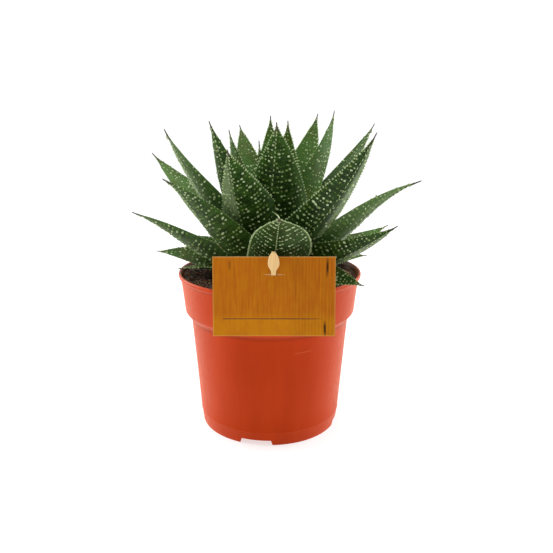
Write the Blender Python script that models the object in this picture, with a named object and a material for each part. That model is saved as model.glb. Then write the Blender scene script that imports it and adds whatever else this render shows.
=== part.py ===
# Potted gasteria in a nursery pot, with a card label on a wooden stick.
# Metres in the file, millimetres in the constants. +Z is up, the plant is seen from -Y.
# The origin is the middle of the pot's base. Azimuth 0 is +X and -90 faces the viewer.

import math
import random

import bmesh
import bpy
import numpy as np

MM = 0.001
GAP = 0.3                 # clearance between neighbouring pieces

# pot: outer and inner profile as (radius, height), from the foot up
POT_SIDES = 40
POT_OUTER = ((45.9, 0.0), (47.0, 8.6), (52.3, 73.4), (53.0, 75.0), (56.3, 78.8),
             (58.7, 100.4), (59.9, 101.6), (60.2, 103.2), (59.7, 104.2))
POT_INNER = ((58.6, 104.2), (57.4, 100.2), (55.0, 79.6), (51.1, 74.6), (46.1, 10.0), (45.4, 5.6))
POT_UNDER = ((43.8, 4.2), (44.7, 0.0))
FOOT_NOTCH = (20.0, 3.4)  # width and height of the four notches in the foot ring
FOOT_NOTCH_AT = (-101.0, -11.0, 79.0, 169.0)
DRAIN_R = 4.2
DRAIN_AT_R = 32.0

# soil: fills the pot to half a centimetre under the lip, with a hollow where the leaves rest
SOIL_TOP = 101.6
SOIL_DIP = 7.1
SOIL_BOTTOM = 5.9
SOIL_RINGS = (8.2, 15.0, 23.0, 31.5, 40.0, 48.5)

# stem: the short crown that carries the leaves
STEM_R = 7.0
STEM_FROM = 62.0
STEM_TO = 107.0

# card label: width, height, thickness and lean, held on the stick and resting on the lip
CARD_W = 70.5
CARD_H = 46.0
CARD_T = 0.7
CARD_LEAN = 8.9
CARD_MID = (2.5, -60.75, 103.4)
SLOT = (3.9, 6.4)
SLOT_Z = 116.6

# label stick: outline as (distance along the stick from the slot, half width)
STICK_T = 1.2
STICK_LEAN = 12.4
STICK_X = 2.2
STICK = ((-64.0, 0.6), (-58.0, 2.0), (-8.0, 2.1), (-4.0, 1.6), (1.2, 1.5), (2.8, 2.2),
         (4.3, 3.0), (6.1, 3.35), (8.5, 3.15), (11.0, 2.35), (13.0, 1.2), (13.8, 0.5))

# teeth and tubercles
TOOTH_PITCH = 5.5
TOOTH_H = 1.4
BUMP_R = 0.8
BUMP_H = 0.45
BUMPS = 10
CLEAR = 0.75              # how far a neighbour keeps off a leaf's smooth faces

# leaves, innermost first: azimuth, tip reach, tip height, width, bow, flick, roll, sway,
# radius and height where the leaf leaves the crown, where its keel lies across it, and how
# blunt its end is
LEAVES = (
    (120, 14, 188, 15, -1.0, 0.0, 0, 0.0, 0.5, 105, 0.12, 1.6),
    (57, 22, 200.5, 28, -2.5, 0.5, 35, -2.0, 2, 109, 0.12, 1.6),
    (160, 28, 195, 23, -2.0, 0.0, -20, 0.0, 2, 109, 0.12, 1.6),
    (89, 33, 203.5, 28, 0.0, 0.0, 5, 0.0, 2, 109, 0.12, 1.6),
    (-85, 43.8, 200.8, 41.5, 7.4, -1.4, -8, 2.8, 3, 109.5, -0.19, 1.6),
    (114.5, 51, 197, 31, 5.0, 1.0, -15, 2.0, 5, 110, 0.12, 1.6),
    (11, 42, 207, 29, -0.6, -2.9, 27, 0.0, 5, 110, 0.12, 1.6),
    (53.5, 56.5, 204.7, 32, 2.0, -1.0, 24, -1.5, 5, 110, 0.12, 1.6),
    (-134.8, 49.7, 201.3, 29, -2.7, 1.8, 12.5, -1.3, 4, 108.5, 0.0, 1.6),
    (130, 48, 170, 26, 2, -1, -8, 0, 5, 106, 0.12, 1.6),
    (84, 66, 182, 30, 3.0, -1.0, 6, 0.0, 5, 106, 0.12, 1.6),
    (15, 71.5, 198.7, 30, 0.0, -1.4, 18, -0.5, 5, 106, 0.12, 1.6),
    (-112.6, 61, 186.4, 37, 9.9, -4.4, 27, -2.6, 6, 105.5, -0.38, 1.6),
    (-156, 68, 196.7, 31, 0.5, -3.0, 16, -0.4, 5, 106, 0.12, 1.6),
    (-49, 87, 196, 33, -0.5, -3.9, -17.5, -2.4, 6, 105, -0.05, 1.6),
    (166, 81, 179.5, 30, 1.7, -1.6, -32, 0.0, 5.5, 105, 0.12, 1.6),
    (112, 82, 163, 30, 4.0, -1.0, -8, 1.0, 5.5, 104, 0.1, 1.6),
    (52, 85, 160, 30, 3.0, -1.0, 12, -1.0, 5.5, 104, 0.12, 1.6),
    (-139, 80, 170, 31, -2.0, 5.0, 16, -2.0, 6, 103.5, -0.45, 1.6),
    (-27, 98, 168, 28, -5.0, 7.5, -24, 1.5, 6, 102.5, 0.12, 1.6),
    (-86.64, 80.45, 152.1, 36.4, -6.0, 6.2, -4.0, 3.7, 6.5, 104, -0.18, 3.4),
    (-172, 88.2, 144.9, 27.3, -4.6, 4.0, 31, 1.0, 6.5, 102, 0.04, 1.6),
    (78, 82.2, 141, 28, 3.0, 1.0, 5, 1.0, 6.5, 102, 0.15, 1.6),
    (138, 88, 146, 28, 2.0, 1.5, -14, 0.0, 6.5, 102, 0.1, 1.6),
    (-33.2, 88.8, 142.6, 31, -0.5, -2.1, -35, 0.4, 6.5, 102.6, 0.0, 1.6),
    (20, 89, 129, 25, 1.0, -2.0, 24, 0.0, 6.5, 101.5, 0.12, 1.6),
    (50, 84, 122, 26, 3.5, 0.5, 10, 0.0, 6.5, 101.5, 0.14, 1.6),
    (107, 82.5, 119, 26, 3.0, 1.0, -6, 0.0, 6.5, 101.5, 0.12, 1.6),
    (149, 80, 120, 25, 3.0, 0.5, -16, 0.0, 6.5, 101.5, 0.1, 1.6),
    (174, 77, 115, 25, 4.0, -0.8, -34, 0.0, 6.5, 101.5, 0.12, 1.6),
    (24, 76, 106.5, 21, 4.0, -0.4, 36, 0.0, 6.5, 101.5, 0.12, 1.6),
    (-47, 80, 109, 24, 4.0, -0.7, 36, 1.0, 6.5, 101.5, 0.12, 1.6),
    (-170, 60.5, 107.5, 15, 2.5, 0.0, 0, 0.0, 6.5, 101.5, 0.12, 1.6),
)
STATIONS = (0.0, 0.11, 0.24, 0.38, 0.52, 0.65, 0.77, 0.88, 0.965)
UPPER_LINES = (-0.5, 0.5)


def material(name, rgb, rough, metallic=0.0):
    mat = bpy.data.materials.new(name)
    mat.use_nodes = True
    shader = mat.node_tree.nodes["Principled BSDF"]
    shader.inputs["Base Color"].default_value = (rgb[0], rgb[1], rgb[2], 1.0)
    shader.inputs["Roughness"].default_value = rough
    shader.inputs["Metallic"].default_value = metallic
    mat.diffuse_color = (rgb[0], rgb[1], rgb[2], 1.0)
    return mat


def add_object(name, verts, faces, mat=None, cutter=False):
    mesh = bpy.data.meshes.new(name)
    mesh.from_pydata([tuple(float(c) * MM for c in v) for v in verts], [], faces)
    mesh.validate()
    bm = bmesh.new()
    bm.from_mesh(mesh)
    bmesh.ops.recalc_face_normals(bm, faces=bm.faces)
    bm.to_mesh(mesh)
    bm.free()
    obj = bpy.data.objects.new(name, mesh)
    bpy.context.scene.collection.objects.link(obj)
    if mat is not None:
        mesh.materials.append(mat)
    if cutter:
        obj.hide_render = True
        obj.display_type = "WIRE"
    return obj


def boolean(obj, others, operation="DIFFERENCE", solver="EXACT"):
    """Cut or join others with obj through modifiers, then keep the result as its mesh."""
    for other in others:
        mod = obj.modifiers.new("cut", "BOOLEAN")
        mod.operation = operation
        mod.solver = solver
        mod.object = other
    graph = bpy.context.evaluated_depsgraph_get()
    mesh = bpy.data.meshes.new_from_object(obj.evaluated_get(graph))
    obj.modifiers.clear()
    old = obj.data
    obj.data = mesh
    mesh.name = obj.name
    bpy.data.meshes.remove(old)


def drop(objects):
    for obj in objects:
        mesh = obj.data
        bpy.data.objects.remove(obj, do_unlink=True)
        bpy.data.meshes.remove(mesh)


def is_closed(bm):
    return all(len(edge.link_faces) == 2 for edge in bm.edges)


def keep_largest(obj):
    """A trimmed piece keeps its biggest body; loose scraps go and slivers are merged."""
    bm = bmesh.new()
    for dist in (0.00004, 0.00001, 0.000001):
        bm.clear()
        bm.from_mesh(obj.data)
        bmesh.ops.remove_doubles(bm, verts=bm.verts, dist=dist)
        bmesh.ops.dissolve_degenerate(bm, edges=bm.edges, dist=dist)
        bmesh.ops.triangulate(bm, faces=[f for f in bm.faces if len(f.verts) > 3])
        if is_closed(bm):
            break
    left = set(bm.faces)
    groups = []
    while left:
        stack = [left.pop()]
        group = [stack[0]]
        while stack:
            for edge in stack.pop().edges:
                for face in edge.link_faces:
                    if face in left:
                        left.discard(face)
                        group.append(face)
                        stack.append(face)
        groups.append(group)
    groups.sort(key=len, reverse=True)
    for group in groups[1:]:
        bmesh.ops.delete(bm, geom=group, context="FACES")
    bmesh.ops.recalc_face_normals(bm, faces=bm.faces)
    closed = is_closed(bm)
    bm.to_mesh(obj.data)
    bm.free()
    return len(groups) - 1, dist, closed


def smooth(obj):
    for poly in obj.data.polygons:
        poly.use_smooth = True


def half_width(t, blunt):
    """Half of the leaf's width over the half of its greatest width, from base to tip."""
    if t < 0.3:
        return 0.72 + 0.28 * math.sin(t / 0.3 * math.pi / 2)
    return (1.0 - ((t - 0.3) / 0.7) ** blunt) ** (0.8 + 0.25 * blunt)


def axes_at(row, t):
    """Point on the leaf's midline with its sideways and upward directions."""
    az, reach, height, width, bow, flick, roll, sway, base_r, base_z, keel_at, blunt = row
    a = math.radians(az)
    out = np.array((math.cos(a), math.sin(a), 0.0))
    side = np.array((-math.sin(a), math.cos(a), 0.0))
    start = base_r * out + np.array((0.0, 0.0, base_z))
    chord = reach * out + np.array((0.0, 0.0, height)) - start
    up = np.cross(chord, side)
    up /= -np.linalg.norm(up)
    if up[2] - 0.3 * (up @ out) < 0.0:
        up = -up

    def point(s):
        lift = bow * 4 * s * (1 - s) + flick * 6.75 * s * s * (1 - s)
        return start + chord * s + up * lift + side * (sway * 4 * s * (1 - s))

    along = point(t + 0.02) - point(t - 0.02)
    along /= np.linalg.norm(along)
    across = side - (side @ along) * along
    across /= np.linalg.norm(across)
    normal = np.cross(across, along)
    if normal @ up < 0.0:
        normal = -normal
    r = math.radians(roll)
    across, normal = (across * math.cos(r) + normal * math.sin(r),
                      normal * math.cos(r) - across * math.sin(r))
    return point(t), along, across, normal


def surface_point(row, t, u, side, grow=0.0, out=0.0):
    """Point of the leaf's skin: u runs from -1 to 1 across, side is 1 above and -1 below."""
    here, along, across, normal = axes_at(row, t)
    width = row[3]
    keel_at = row[10]
    wide = half_width(min(t, 0.999), row[11])
    half = width / 2 * wide
    cup = half * 0.30 * (1 - min(t, 1.0)) ** 0.7
    lift = cup * u * u
    if side < 0:
        thick = width * 0.2 * (1 - 0.75 * t) * min(1.0, wide * 1.3)
        keel = min(1.0, max(0.0, (t - 0.25) / 0.35))
        round_part = (1 - abs(u) ** 2.2) ** 0.8 if abs(u) < 1 else 0.0
        reach = 1 + keel_at if u < keel_at else 1 - keel_at
        ridge = max(0.0, 1 - abs(u - keel_at) / reach)
        lift -= thick * ((1 - keel) * round_part + keel * (0.55 * round_part + 0.6 * ridge))
    lift += grow * side
    sign = (u > 0) - (u < 0)
    return here + across * (half * u + sign * out) + normal * lift


def lower_lines(row):
    """Where the lines of the underside lie across a leaf: one is its keel."""
    keel_at = row[10]
    return (keel_at - 0.66 * (1 + keel_at), keel_at, keel_at + 0.62 * (1 - keel_at))


def leaf_mesh(row, seed):
    """A closed leaf body: two toothed margins, two lines above and three below."""
    verts = []
    faces = []

    def put(point):
        verts.append(point)
        return len(verts) - 1

    length = math.hypot(row[1] - row[8], row[2] - row[9])
    steps = max(6, round(length * 0.80 / TOOTH_PITCH))
    edges = {}
    for sign in (-1, 1):
        line = []
        for i, t in enumerate((0.0, 0.05, 0.10)):
            line.append((t, put(surface_point(row, t, sign, 1))))
        for k in range(steps):
            t0 = 0.12 + (0.93 - 0.12) * k / steps
            dt = (0.93 - 0.12) / steps
            tall = TOOTH_H * (1.0 - 0.45 * k / steps)
            tip = t0 + dt * 0.72
            line.append((tip, put(surface_point(row, tip, sign, 1, 0.0, tall))))
            line.append((t0 + dt, put(surface_point(row, t0 + dt, sign, 1))))
        line.append((STATIONS[-1], put(surface_point(row, STATIONS[-1], sign, 1))))
        edges[sign] = line
    uppers = [[(t, put(surface_point(row, t, u, 1))) for t in STATIONS] for u in UPPER_LINES]
    lowers = [[(t, put(surface_point(row, t, u, -1))) for t in STATIONS] for u in lower_lines(row)]
    tip_at, along, across, normal = axes_at(row, 1.0)
    apex = put(tip_at)

    def strip(a, b):
        i = j = 0
        while i < len(a) - 1 or j < len(b) - 1:
            step_a = j == len(b) - 1 or (i < len(a) - 1 and a[i + 1][0] <= b[j + 1][0])
            if step_a:
                faces.append((a[i][1], a[i + 1][1], b[j][1]))
                i += 1
            else:
                faces.append((a[i][1], b[j + 1][1], b[j][1]))
                j += 1

    ring = [edges[-1]] + uppers + [edges[1]] + lowers[::-1]
    for k, line in enumerate(ring):
        strip(line, ring[(k + 1) % len(ring)])
        faces.append((line[-1][1], apex, ring[(k + 1) % len(ring)][-1][1]))
    first = [line[0][1] for line in ring]
    # the cap's middle lies between the two upper lines and the keel
    middle = put((verts[first[1]] + verts[first[2]]) / 4 + verts[first[5]] / 2)
    for k in range(len(first)):
        faces.append((first[k], first[(k + 1) % len(first)], middle))

    # raise a few tubercles, spread over both faces and out to the tip
    rng = random.Random(seed)
    base_at = axes_at(row, 0.0)[0]
    tip_vec = tip_at - base_at
    hosts = []
    for index, face in enumerate(faces):
        pts = [np.asarray(verts[i]) for i in face]
        sides = [np.linalg.norm(pts[(k + 1) % 3] - pts[(k + 2) % 3]) for k in range(3)]
        area = np.linalg.norm(np.cross(pts[1] - pts[0], pts[2] - pts[0])) / 2
        radius = 2 * area / sum(sides)
        place = ((sum(pts) / 3 - base_at) @ tip_vec) / (tip_vec @ tip_vec)
        if radius > BUMP_R * 1.35 and 0.1 < place:
            hosts.append((place, index))
    hosts.sort()
    chosen = []
    for k in range(BUMPS):
        lot = hosts[len(hosts) * k // BUMPS:len(hosts) * (k + 1) // BUMPS]
        if lot:
            chosen.append(rng.choice(lot)[1])
    centre = np.mean(np.asarray(verts), axis=0)
    for index in chosen:
        a, b, c = faces[index]
        pts = [np.asarray(verts[i]) for i in (a, b, c)]
        sides = [np.linalg.norm(pts[(k + 1) % 3] - pts[(k + 2) % 3]) for k in range(3)]
        middle = sum(p * s for p, s in zip(pts, sides)) / sum(sides)
        outward = np.cross(pts[1] - pts[0], pts[2] - pts[0])
        outward /= np.linalg.norm(outward)
        t_here = min(0.96, max(0.0, ((middle - base_at) @ tip_vec) / (tip_vec @ tip_vec)))
        inside = surface_point(row, t_here, 0.0, 1) * 0.5 + surface_point(row, t_here, 0.0, -1) * 0.5
        if outward @ (middle - inside) < 0:
            outward = -outward
        inner = []
        for p in pts:
            d = p - middle
            inner.append(put(middle + d / np.linalg.norm(d) * BUMP_R * 1.25))
        top = put(middle + outward * BUMP_H)
        corners = (a, b, c)
        faces[index] = (inner[0], inner[1], top)
        faces.append((inner[1], inner[2], top))
        faces.append((inner[2], inner[0], top))
        for k in range(3):
            m = (k + 1) % 3
            faces.append((corners[k], corners[m], inner[m]))
            faces.append((corners[k], inner[m], inner[k]))
    return verts, faces


def leaf_cutter(row):
    """The leaf grown all round, with its teeth taken in, to trim its neighbours."""
    verts = []
    faces = []
    rows = [-0.05] + list(STATIONS) + [1.0]
    for t in rows:
        out = TOOTH_H + GAP
        ring = [surface_point(row, t, -1, 1, CLEAR, out)]
        ring += [surface_point(row, t, u, 1, CLEAR) for u in UPPER_LINES]
        ring += [surface_point(row, t, 1, 1, CLEAR, out)]
        ring += [surface_point(row, t, 1, 1, -CLEAR, out)]
        ring += [surface_point(row, t, u, -1, CLEAR) for u in lower_lines(row)[::-1]]
        ring += [surface_point(row, t, -1, 1, -CLEAR, out)]
        verts += ring
    count = 9
    for i in range(len(rows) - 1):
        for k in range(count):
            a = i * count + k
            b = i * count + (k + 1) % count
            faces.append((a, b, b + count))
            faces.append((a, b + count, a + count))
    here, along, across, normal = axes_at(row, 0.0)
    last, along_tip, across, normal = axes_at(row, 1.0)
    verts.append((verts[1] + verts[2]) / 4 + verts[6] / 2)
    verts.append(last + along_tip * 3.5)
    for k in range(count):
        faces.append((k, (k + 1) % count, len(verts) - 2))
        top = (len(rows) - 1) * count
        faces.append((top + k, top + (k + 1) % count, len(verts) - 1))
    return verts, faces


def revolve(profile, sides, closed=True):
    """Turn a profile of (radius, height) about Z; a radius of 0 is a single point."""
    verts = []
    rings = []
    for radius, height in profile:
        if radius == 0:
            verts.append((0.0, 0.0, height))
            rings.append([len(verts) - 1] * sides)
            continue
        start = len(verts)
        for k in range(sides):
            a = 2 * math.pi * k / sides
            verts.append((radius * math.cos(a), radius * math.sin(a), height))
        rings.append(list(range(start, start + sides)))
    faces = []
    pairs = list(zip(rings[:-1], rings[1:]))
    if closed:
        pairs.append((rings[-1], rings[0]))
    for low, high in pairs:
        for k in range(sides):
            m = (k + 1) % sides
            face = (low[k], low[m], high[m], high[k])
            single = []
            for i in face:
                if i not in single:
                    single.append(i)
            if len(single) > 2:
                faces.append(tuple(single))
    return verts, faces


def prism(outline, thickness, origin, lean):
    """A flat outline in X and Z, given a thickness, leant about X and moved to its place."""
    c = math.cos(math.radians(lean))
    s = math.sin(math.radians(lean))
    verts = []
    for y in (-thickness / 2, thickness / 2):
        for x, z in outline:
            verts.append((origin[0] + x, origin[1] + y * c + z * s, origin[2] + z * c - y * s))
    n = len(outline)
    faces = [tuple(range(n)), tuple(range(2 * n - 1, n - 1, -1))]
    for k in range(n):
        m = (k + 1) % n
        faces.append((k, m, m + n, k + n))
    return verts, faces


def box_verts(size, centre, turn=0.0):
    c = math.cos(math.radians(turn))
    s = math.sin(math.radians(turn))
    verts = []
    for x in (-0.5, 0.5):
        for y in (-0.5, 0.5):
            for z in (-0.5, 0.5):
                px = centre[0] + x * size[0]
                py = centre[1] + y * size[1]
                verts.append((px * c - py * s, px * s + py * c, centre[2] + z * size[2]))
    faces = [(0, 1, 3, 2), (4, 6, 7, 5), (0, 4, 5, 1), (2, 3, 7, 6), (0, 2, 6, 4), (1, 5, 7, 3)]
    return verts, faces


def build_pot():
    profile = list(POT_OUTER) + list(POT_INNER) + [(0, 5.6), (0, 4.2)] + list(POT_UNDER)
    verts, faces = revolve(profile, POT_SIDES)
    pot = add_object("pot", verts, faces, material("pot_plastic", (0.62, 0.10, 0.035), 0.35))
    cutters = []
    for turn in FOOT_NOTCH_AT:
        size = (8.0, FOOT_NOTCH[0], 2 * FOOT_NOTCH[1])
        verts, faces = box_verts(size, (45.4, 0.0, 0.0), turn)
        cutters.append(add_object("notch", verts, faces, None, True))
    for k in range(5):
        a = math.radians(34 + 90 * k)
        r = 0.0 if k == 4 else DRAIN_AT_R
        verts, faces = revolve(((0, 2.0), (DRAIN_R, 2.0), (DRAIN_R, 8.0), (0, 8.0)), 12, False)
        verts = [(x + r * math.cos(a), y + r * math.sin(a), z) for x, y, z in verts]
        cutters.append(add_object("drain", verts, faces, None, True))
    boolean(pot, cutters)
    drop(cutters)
    keep_largest(pot)
    smooth(pot)
    return pot


def soil_height(x, y):
    """Crumbly top: low lumps, sinking to the crown in a shallow hollow."""
    lumps = 0.55 * math.sin(x * 0.37 + 1.3) * math.cos(y * 0.31 - 0.4)
    lumps += 0.45 * math.sin(x * 0.71 - y * 0.53 + 2.1) + 0.3 * math.cos(x * 0.93 + y * 0.87)
    near = min(1.0, max(0.0, (math.hypot(x, y) - 10.0) / 44.0))
    return SOIL_TOP + lumps - SOIL_DIP * (1 - near * near * (3 - 2 * near))


def build_soil(stick_cutter):
    sides = POT_SIDES
    inner = [(r - GAP, z) for r, z in POT_INNER]
    # the wall of the soil follows the pot's wall from the bottom to the surface
    slope = (inner[1][0] - inner[2][0]) / (inner[1][1] - inner[2][1])
    top_r = inner[2][0] + slope * (SOIL_TOP - inner[2][1])
    hole = STEM_R + GAP
    profile = [(hole, STEM_FROM - GAP), (hole, SOIL_TOP)]
    profile += [(r, SOIL_TOP) for r in SOIL_RINGS] + [(top_r, SOIL_TOP)]
    profile += [(inner[2][0], inner[2][1]), (inner[3][0], inner[3][1]), (inner[4][0], inner[4][1]),
                (45.1, SOIL_BOTTOM), (0, SOIL_BOTTOM), (0, SOIL_BOTTOM)]
    profile = profile[:-1]
    verts, faces = revolve([(0, STEM_FROM - GAP)] + profile, sides, False)
    for i, (x, y, z) in enumerate(verts):
        if z == SOIL_TOP:
            r = math.hypot(x, y)
            calm = 0.25 + 0.75 * min(1.0, max(0.0, (top_r - r) / 3.0))
            verts[i] = (x, y, SOIL_TOP + (soil_height(x, y) - SOIL_TOP) * calm)
    soil = add_object("soil", verts, faces, material("peat", (0.03, 0.018, 0.012), 0.95))
    boolean(soil, [stick_cutter])
    keep_largest(soil)
    return soil


def build_stem():
    profile = ((0, STEM_FROM), (4.5, STEM_FROM), (STEM_R, STEM_FROM + 6), (STEM_R, STEM_TO - 7),
               (5.6, STEM_TO - 2.6), (3.0, STEM_TO - 0.6), (0, STEM_TO))
    verts, faces = revolve(profile, 24, False)
    stem = add_object("stem", verts, faces, material("stem_skin", (0.24, 0.34, 0.12), 0.6))
    smooth(stem)
    grown = [(r + GAP if r else 0, z) for r, z in profile]
    grown[0] = (0, STEM_FROM - GAP)
    grown[1] = (4.5 + GAP, STEM_FROM - GAP)
    grown[-2] = (3.0 + GAP, STEM_TO - 0.6 + GAP)
    grown[-1] = (0, STEM_TO + GAP)
    verts, faces = revolve(grown, 24, False)
    return stem, add_object("stem_cutter", verts, faces, None, True)


def build_label():
    z0 = (SLOT_Z - CARD_MID[2]) / math.cos(math.radians(CARD_LEAN))
    w = CARD_W / 2
    h = CARD_H / 2
    outline = ((-w, -h), (w, -h), (w, h), (-w, h))
    origin = CARD_MID
    paper = material("card", (0.42, 0.17, 0.02), 0.6)
    verts, faces = prism(outline, CARD_T, origin, CARD_LEAN)
    card = add_object("plant_label", verts, faces, paper)
    sx = SLOT[0] / 2
    sx0 = STICK_X - CARD_MID[0]
    hole = ((sx0 - sx, z0 - SLOT[1] / 2), (sx0 + sx, z0 - SLOT[1] / 2),
            (sx0 + sx, z0 + SLOT[1] / 2), (sx0 - sx, z0 + SLOT[1] / 2))
    verts, faces = prism(hole, 6.0, origin, CARD_LEAN)
    cutter = add_object("slot", verts, faces, None, True)
    boolean(card, [cutter])
    drop([cutter])
    # the stick leans the other way, so it crosses the card at the slot
    lean = math.radians(CARD_LEAN)
    y0 = CARD_MID[1] + math.tan(lean) * (SLOT_Z - CARD_MID[2])
    right = [(w2, s) for s, w2 in STICK]
    left = [(-w2, s) for s, w2 in STICK[::-1]]
    verts, faces = prism(right + left, STICK_T, (STICK_X, y0, SLOT_Z), -STICK_LEAN)
    wood = material("pale_wood", (0.78, 0.55, 0.30), 0.6)
    stick = add_object("label_stick", verts, faces, wood)
    grown = [(w2 + GAP, s - (1.0 if i == 0 else 0.0)) for i, (w2, s) in enumerate(right)]
    grown += [(w2 - GAP, s - (1.0 if i == len(left) - 1 else 0.0)) for i, (w2, s) in enumerate(left)]
    verts, faces = prism(grown, STICK_T + 2 * GAP, (STICK_X, y0, SLOT_Z), -STICK_LEAN)
    return card, stick, add_object("stick_cutter", verts, faces, None, True)


def bounds(verts):
    pts = np.asarray(verts)
    return pts.min(axis=0), pts.max(axis=0)


def meets(a, b):
    return bool(np.all(a[0] <= b[1]) and np.all(b[0] <= a[1]))


def build_leaves(stem_cutter):
    greens = ((0.052, 0.115, 0.036), (0.044, 0.105, 0.040), (0.060, 0.125, 0.040))
    cutters = []
    for number, row in enumerate(LEAVES, 1):
        name = "leaf_%02d" % number
        verts, faces = leaf_mesh(row, 100 + number)
        skin = material(name + "_skin", greens[number % 3], 0.45)
        leaf = add_object(name, verts, faces, skin)
        box = bounds(verts)
        near = [stem_cutter] + [c for c, cbox in cutters if meets(box, cbox)]
        for cutter in near:
            boolean(leaf, [cutter], "DIFFERENCE", "MANIFOLD")
        scraps = keep_largest(leaf)
        print(name, "neighbours", len(near) - 1, "scraps", scraps, "faces", len(leaf.data.polygons))
        cverts, cfaces = leaf_cutter(row)
        cutters.append((add_object(name + "_cutter", cverts, cfaces, None, True), bounds(cverts)))
    drop([c for c, cbox in cutters])


for old in list(bpy.data.objects):
    bpy.data.objects.remove(old, do_unlink=True)
build_pot()
plant_label, label_stick, stick_cutter = build_label()
build_soil(stick_cutter)
drop([stick_cutter])
crown, stem_cutter = build_stem()
build_leaves(stem_cutter)
drop([stem_cutter])
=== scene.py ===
import collections
import math
import random

import bmesh
import bpy
import numpy as np
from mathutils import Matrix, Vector


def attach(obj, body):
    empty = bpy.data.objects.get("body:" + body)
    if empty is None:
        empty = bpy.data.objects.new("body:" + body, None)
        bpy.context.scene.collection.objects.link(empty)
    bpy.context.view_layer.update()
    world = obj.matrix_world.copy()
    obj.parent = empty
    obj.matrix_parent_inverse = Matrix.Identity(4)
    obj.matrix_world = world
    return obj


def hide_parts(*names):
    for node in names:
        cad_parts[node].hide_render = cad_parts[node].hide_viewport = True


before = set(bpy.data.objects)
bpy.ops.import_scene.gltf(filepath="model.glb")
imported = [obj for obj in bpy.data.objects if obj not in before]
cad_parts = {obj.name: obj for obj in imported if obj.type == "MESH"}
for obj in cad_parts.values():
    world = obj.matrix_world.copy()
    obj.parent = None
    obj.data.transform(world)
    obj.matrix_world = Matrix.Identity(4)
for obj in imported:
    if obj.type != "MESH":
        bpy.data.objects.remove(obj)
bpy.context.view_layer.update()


# Nursery pot: one thin polypropylene moulding, 12 cm across the rolled lip, with a collar to
# stack by and a notched foot ring. It is moulded in one shot, so the skin is smooth and softly
# glossy, with faint flow marks and the rubs that pots get in a crate.

MM = 0.001
POT_SIDES = 176
POT_WALL = (
    (44.75, 0.35), (44.95, 0.08), (45.25, 0.0), (45.65, 0.0), (45.92, 0.12), (46.05, 0.5),
    (46.35, 3.0), (46.92, 8.0), (47.02, 8.5), (47.28, 8.75), (47.34, 9.2), (47.22, 9.6),
    (48.2, 22.0), (49.6, 40.0), (51.0, 57.5), (52.26, 73.0), (52.42, 73.8), (52.75, 74.6),
    (53.3, 75.4), (55.75, 78.1), (56.1, 78.6), (56.3, 79.3), (57.0, 86.5), (57.8, 94.0),
    (58.62, 100.0), (58.8, 100.55), (59.2, 101.0), (59.65, 101.5), (59.98, 102.1),
    (60.14, 102.8), (60.12, 103.35), (59.95, 103.8), (59.65, 104.1), (59.25, 104.2),
    (58.9, 104.12), (58.6, 103.85), (58.4, 103.3), (57.4, 100.2), (55.1, 80.0),
    (54.8, 79.2), (51.4, 75.1), (51.05, 74.2), (46.1, 10.0), (45.7, 7.0), (44.9, 5.8),
    (43.8, 5.6), (0.0, 5.6), (0.0, 4.2), (42.9, 4.2), (43.9, 4.0), (44.4, 3.4))
POT_CREASE = 30.0
# degrees round the foot, and the shape of each notch, a shallow trapezium wider at the foot
NOTCHES = (-101.0, -11.0, 79.0, 169.0)
NOTCH_REACH = (38.0, 52.0)
NOTCH_SHAPE = ((10.9, -2.0), (10.6, 0.0), (9.6, 3.4), (-9.6, 3.4), (-10.6, 0.0), (-10.9, -2.0))
# radius and degrees of each drain hole, and the shape of the hole
DRAINS = ((0.0, 0.0), (32.0, 34.0), (32.0, 124.0), (32.0, 214.0), (32.0, 304.0))
DRAIN_SHAPE = ((0, 3.0), (4.0, 3.0), (4.2, 4.2), (4.0, 7.0), (0, 7.0))


def linear(hex_code):
    """An sRGB hex colour as linear red, green, blue and alpha."""
    out = []
    for k in (1, 3, 5):
        c = int(hex_code[k:k + 2], 16) / 255
        out.append(c / 12.92 if c <= 0.04045 else ((c + 0.055) / 1.055) ** 2.4)
    return (out[0], out[1], out[2], 1.0)


def wire(tree, node, links):
    """Set a node's inputs, each to a value, a hex colour, a socket or a node's first output."""
    for key, value in links.items():
        if isinstance(value, bpy.types.Node):
            value = next(socket for socket in value.outputs if socket.enabled)
        if isinstance(value, bpy.types.NodeSocket):
            tree.links.new(value, node.inputs[key])
        else:
            node.inputs[key].default_value = linear(value) if isinstance(value, str) else value


def add(tree, kind, links=None, stops=(), **settings):
    """Add a node with its settings and links, and a ramp's stops: places and hex or grey."""
    made = tree.nodes.new(kind)
    for key, value in settings.items():
        setattr(made, key, value)
    wire(tree, made, links or {})
    if stops:
        bar = made.color_ramp.elements
        bar[0].position, bar[1].position = stops[0][0], stops[-1][0]
        for place, _ in stops[1:-1]:
            bar.new(place)
        for element, (_, tone) in zip(bar, stops):
            element.color = linear(tone) if isinstance(tone, str) else (tone, tone, tone, 1.0)
    return made


def new_finish(name):
    """A new material, its node tree and its shader, ready for its own nodes."""
    made = bpy.data.materials.new(name)
    made.use_nodes = True
    return made, made.node_tree, made.node_tree.nodes["Principled BSDF"]


def smooth(mesh, crease):
    """Smooth shading but for creases sharper than that many degrees."""
    mesh.polygons.foreach_set("use_smooth", [True] * len(mesh.polygons))
    mesh.set_sharp_from_angle(angle=math.radians(crease))


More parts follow.
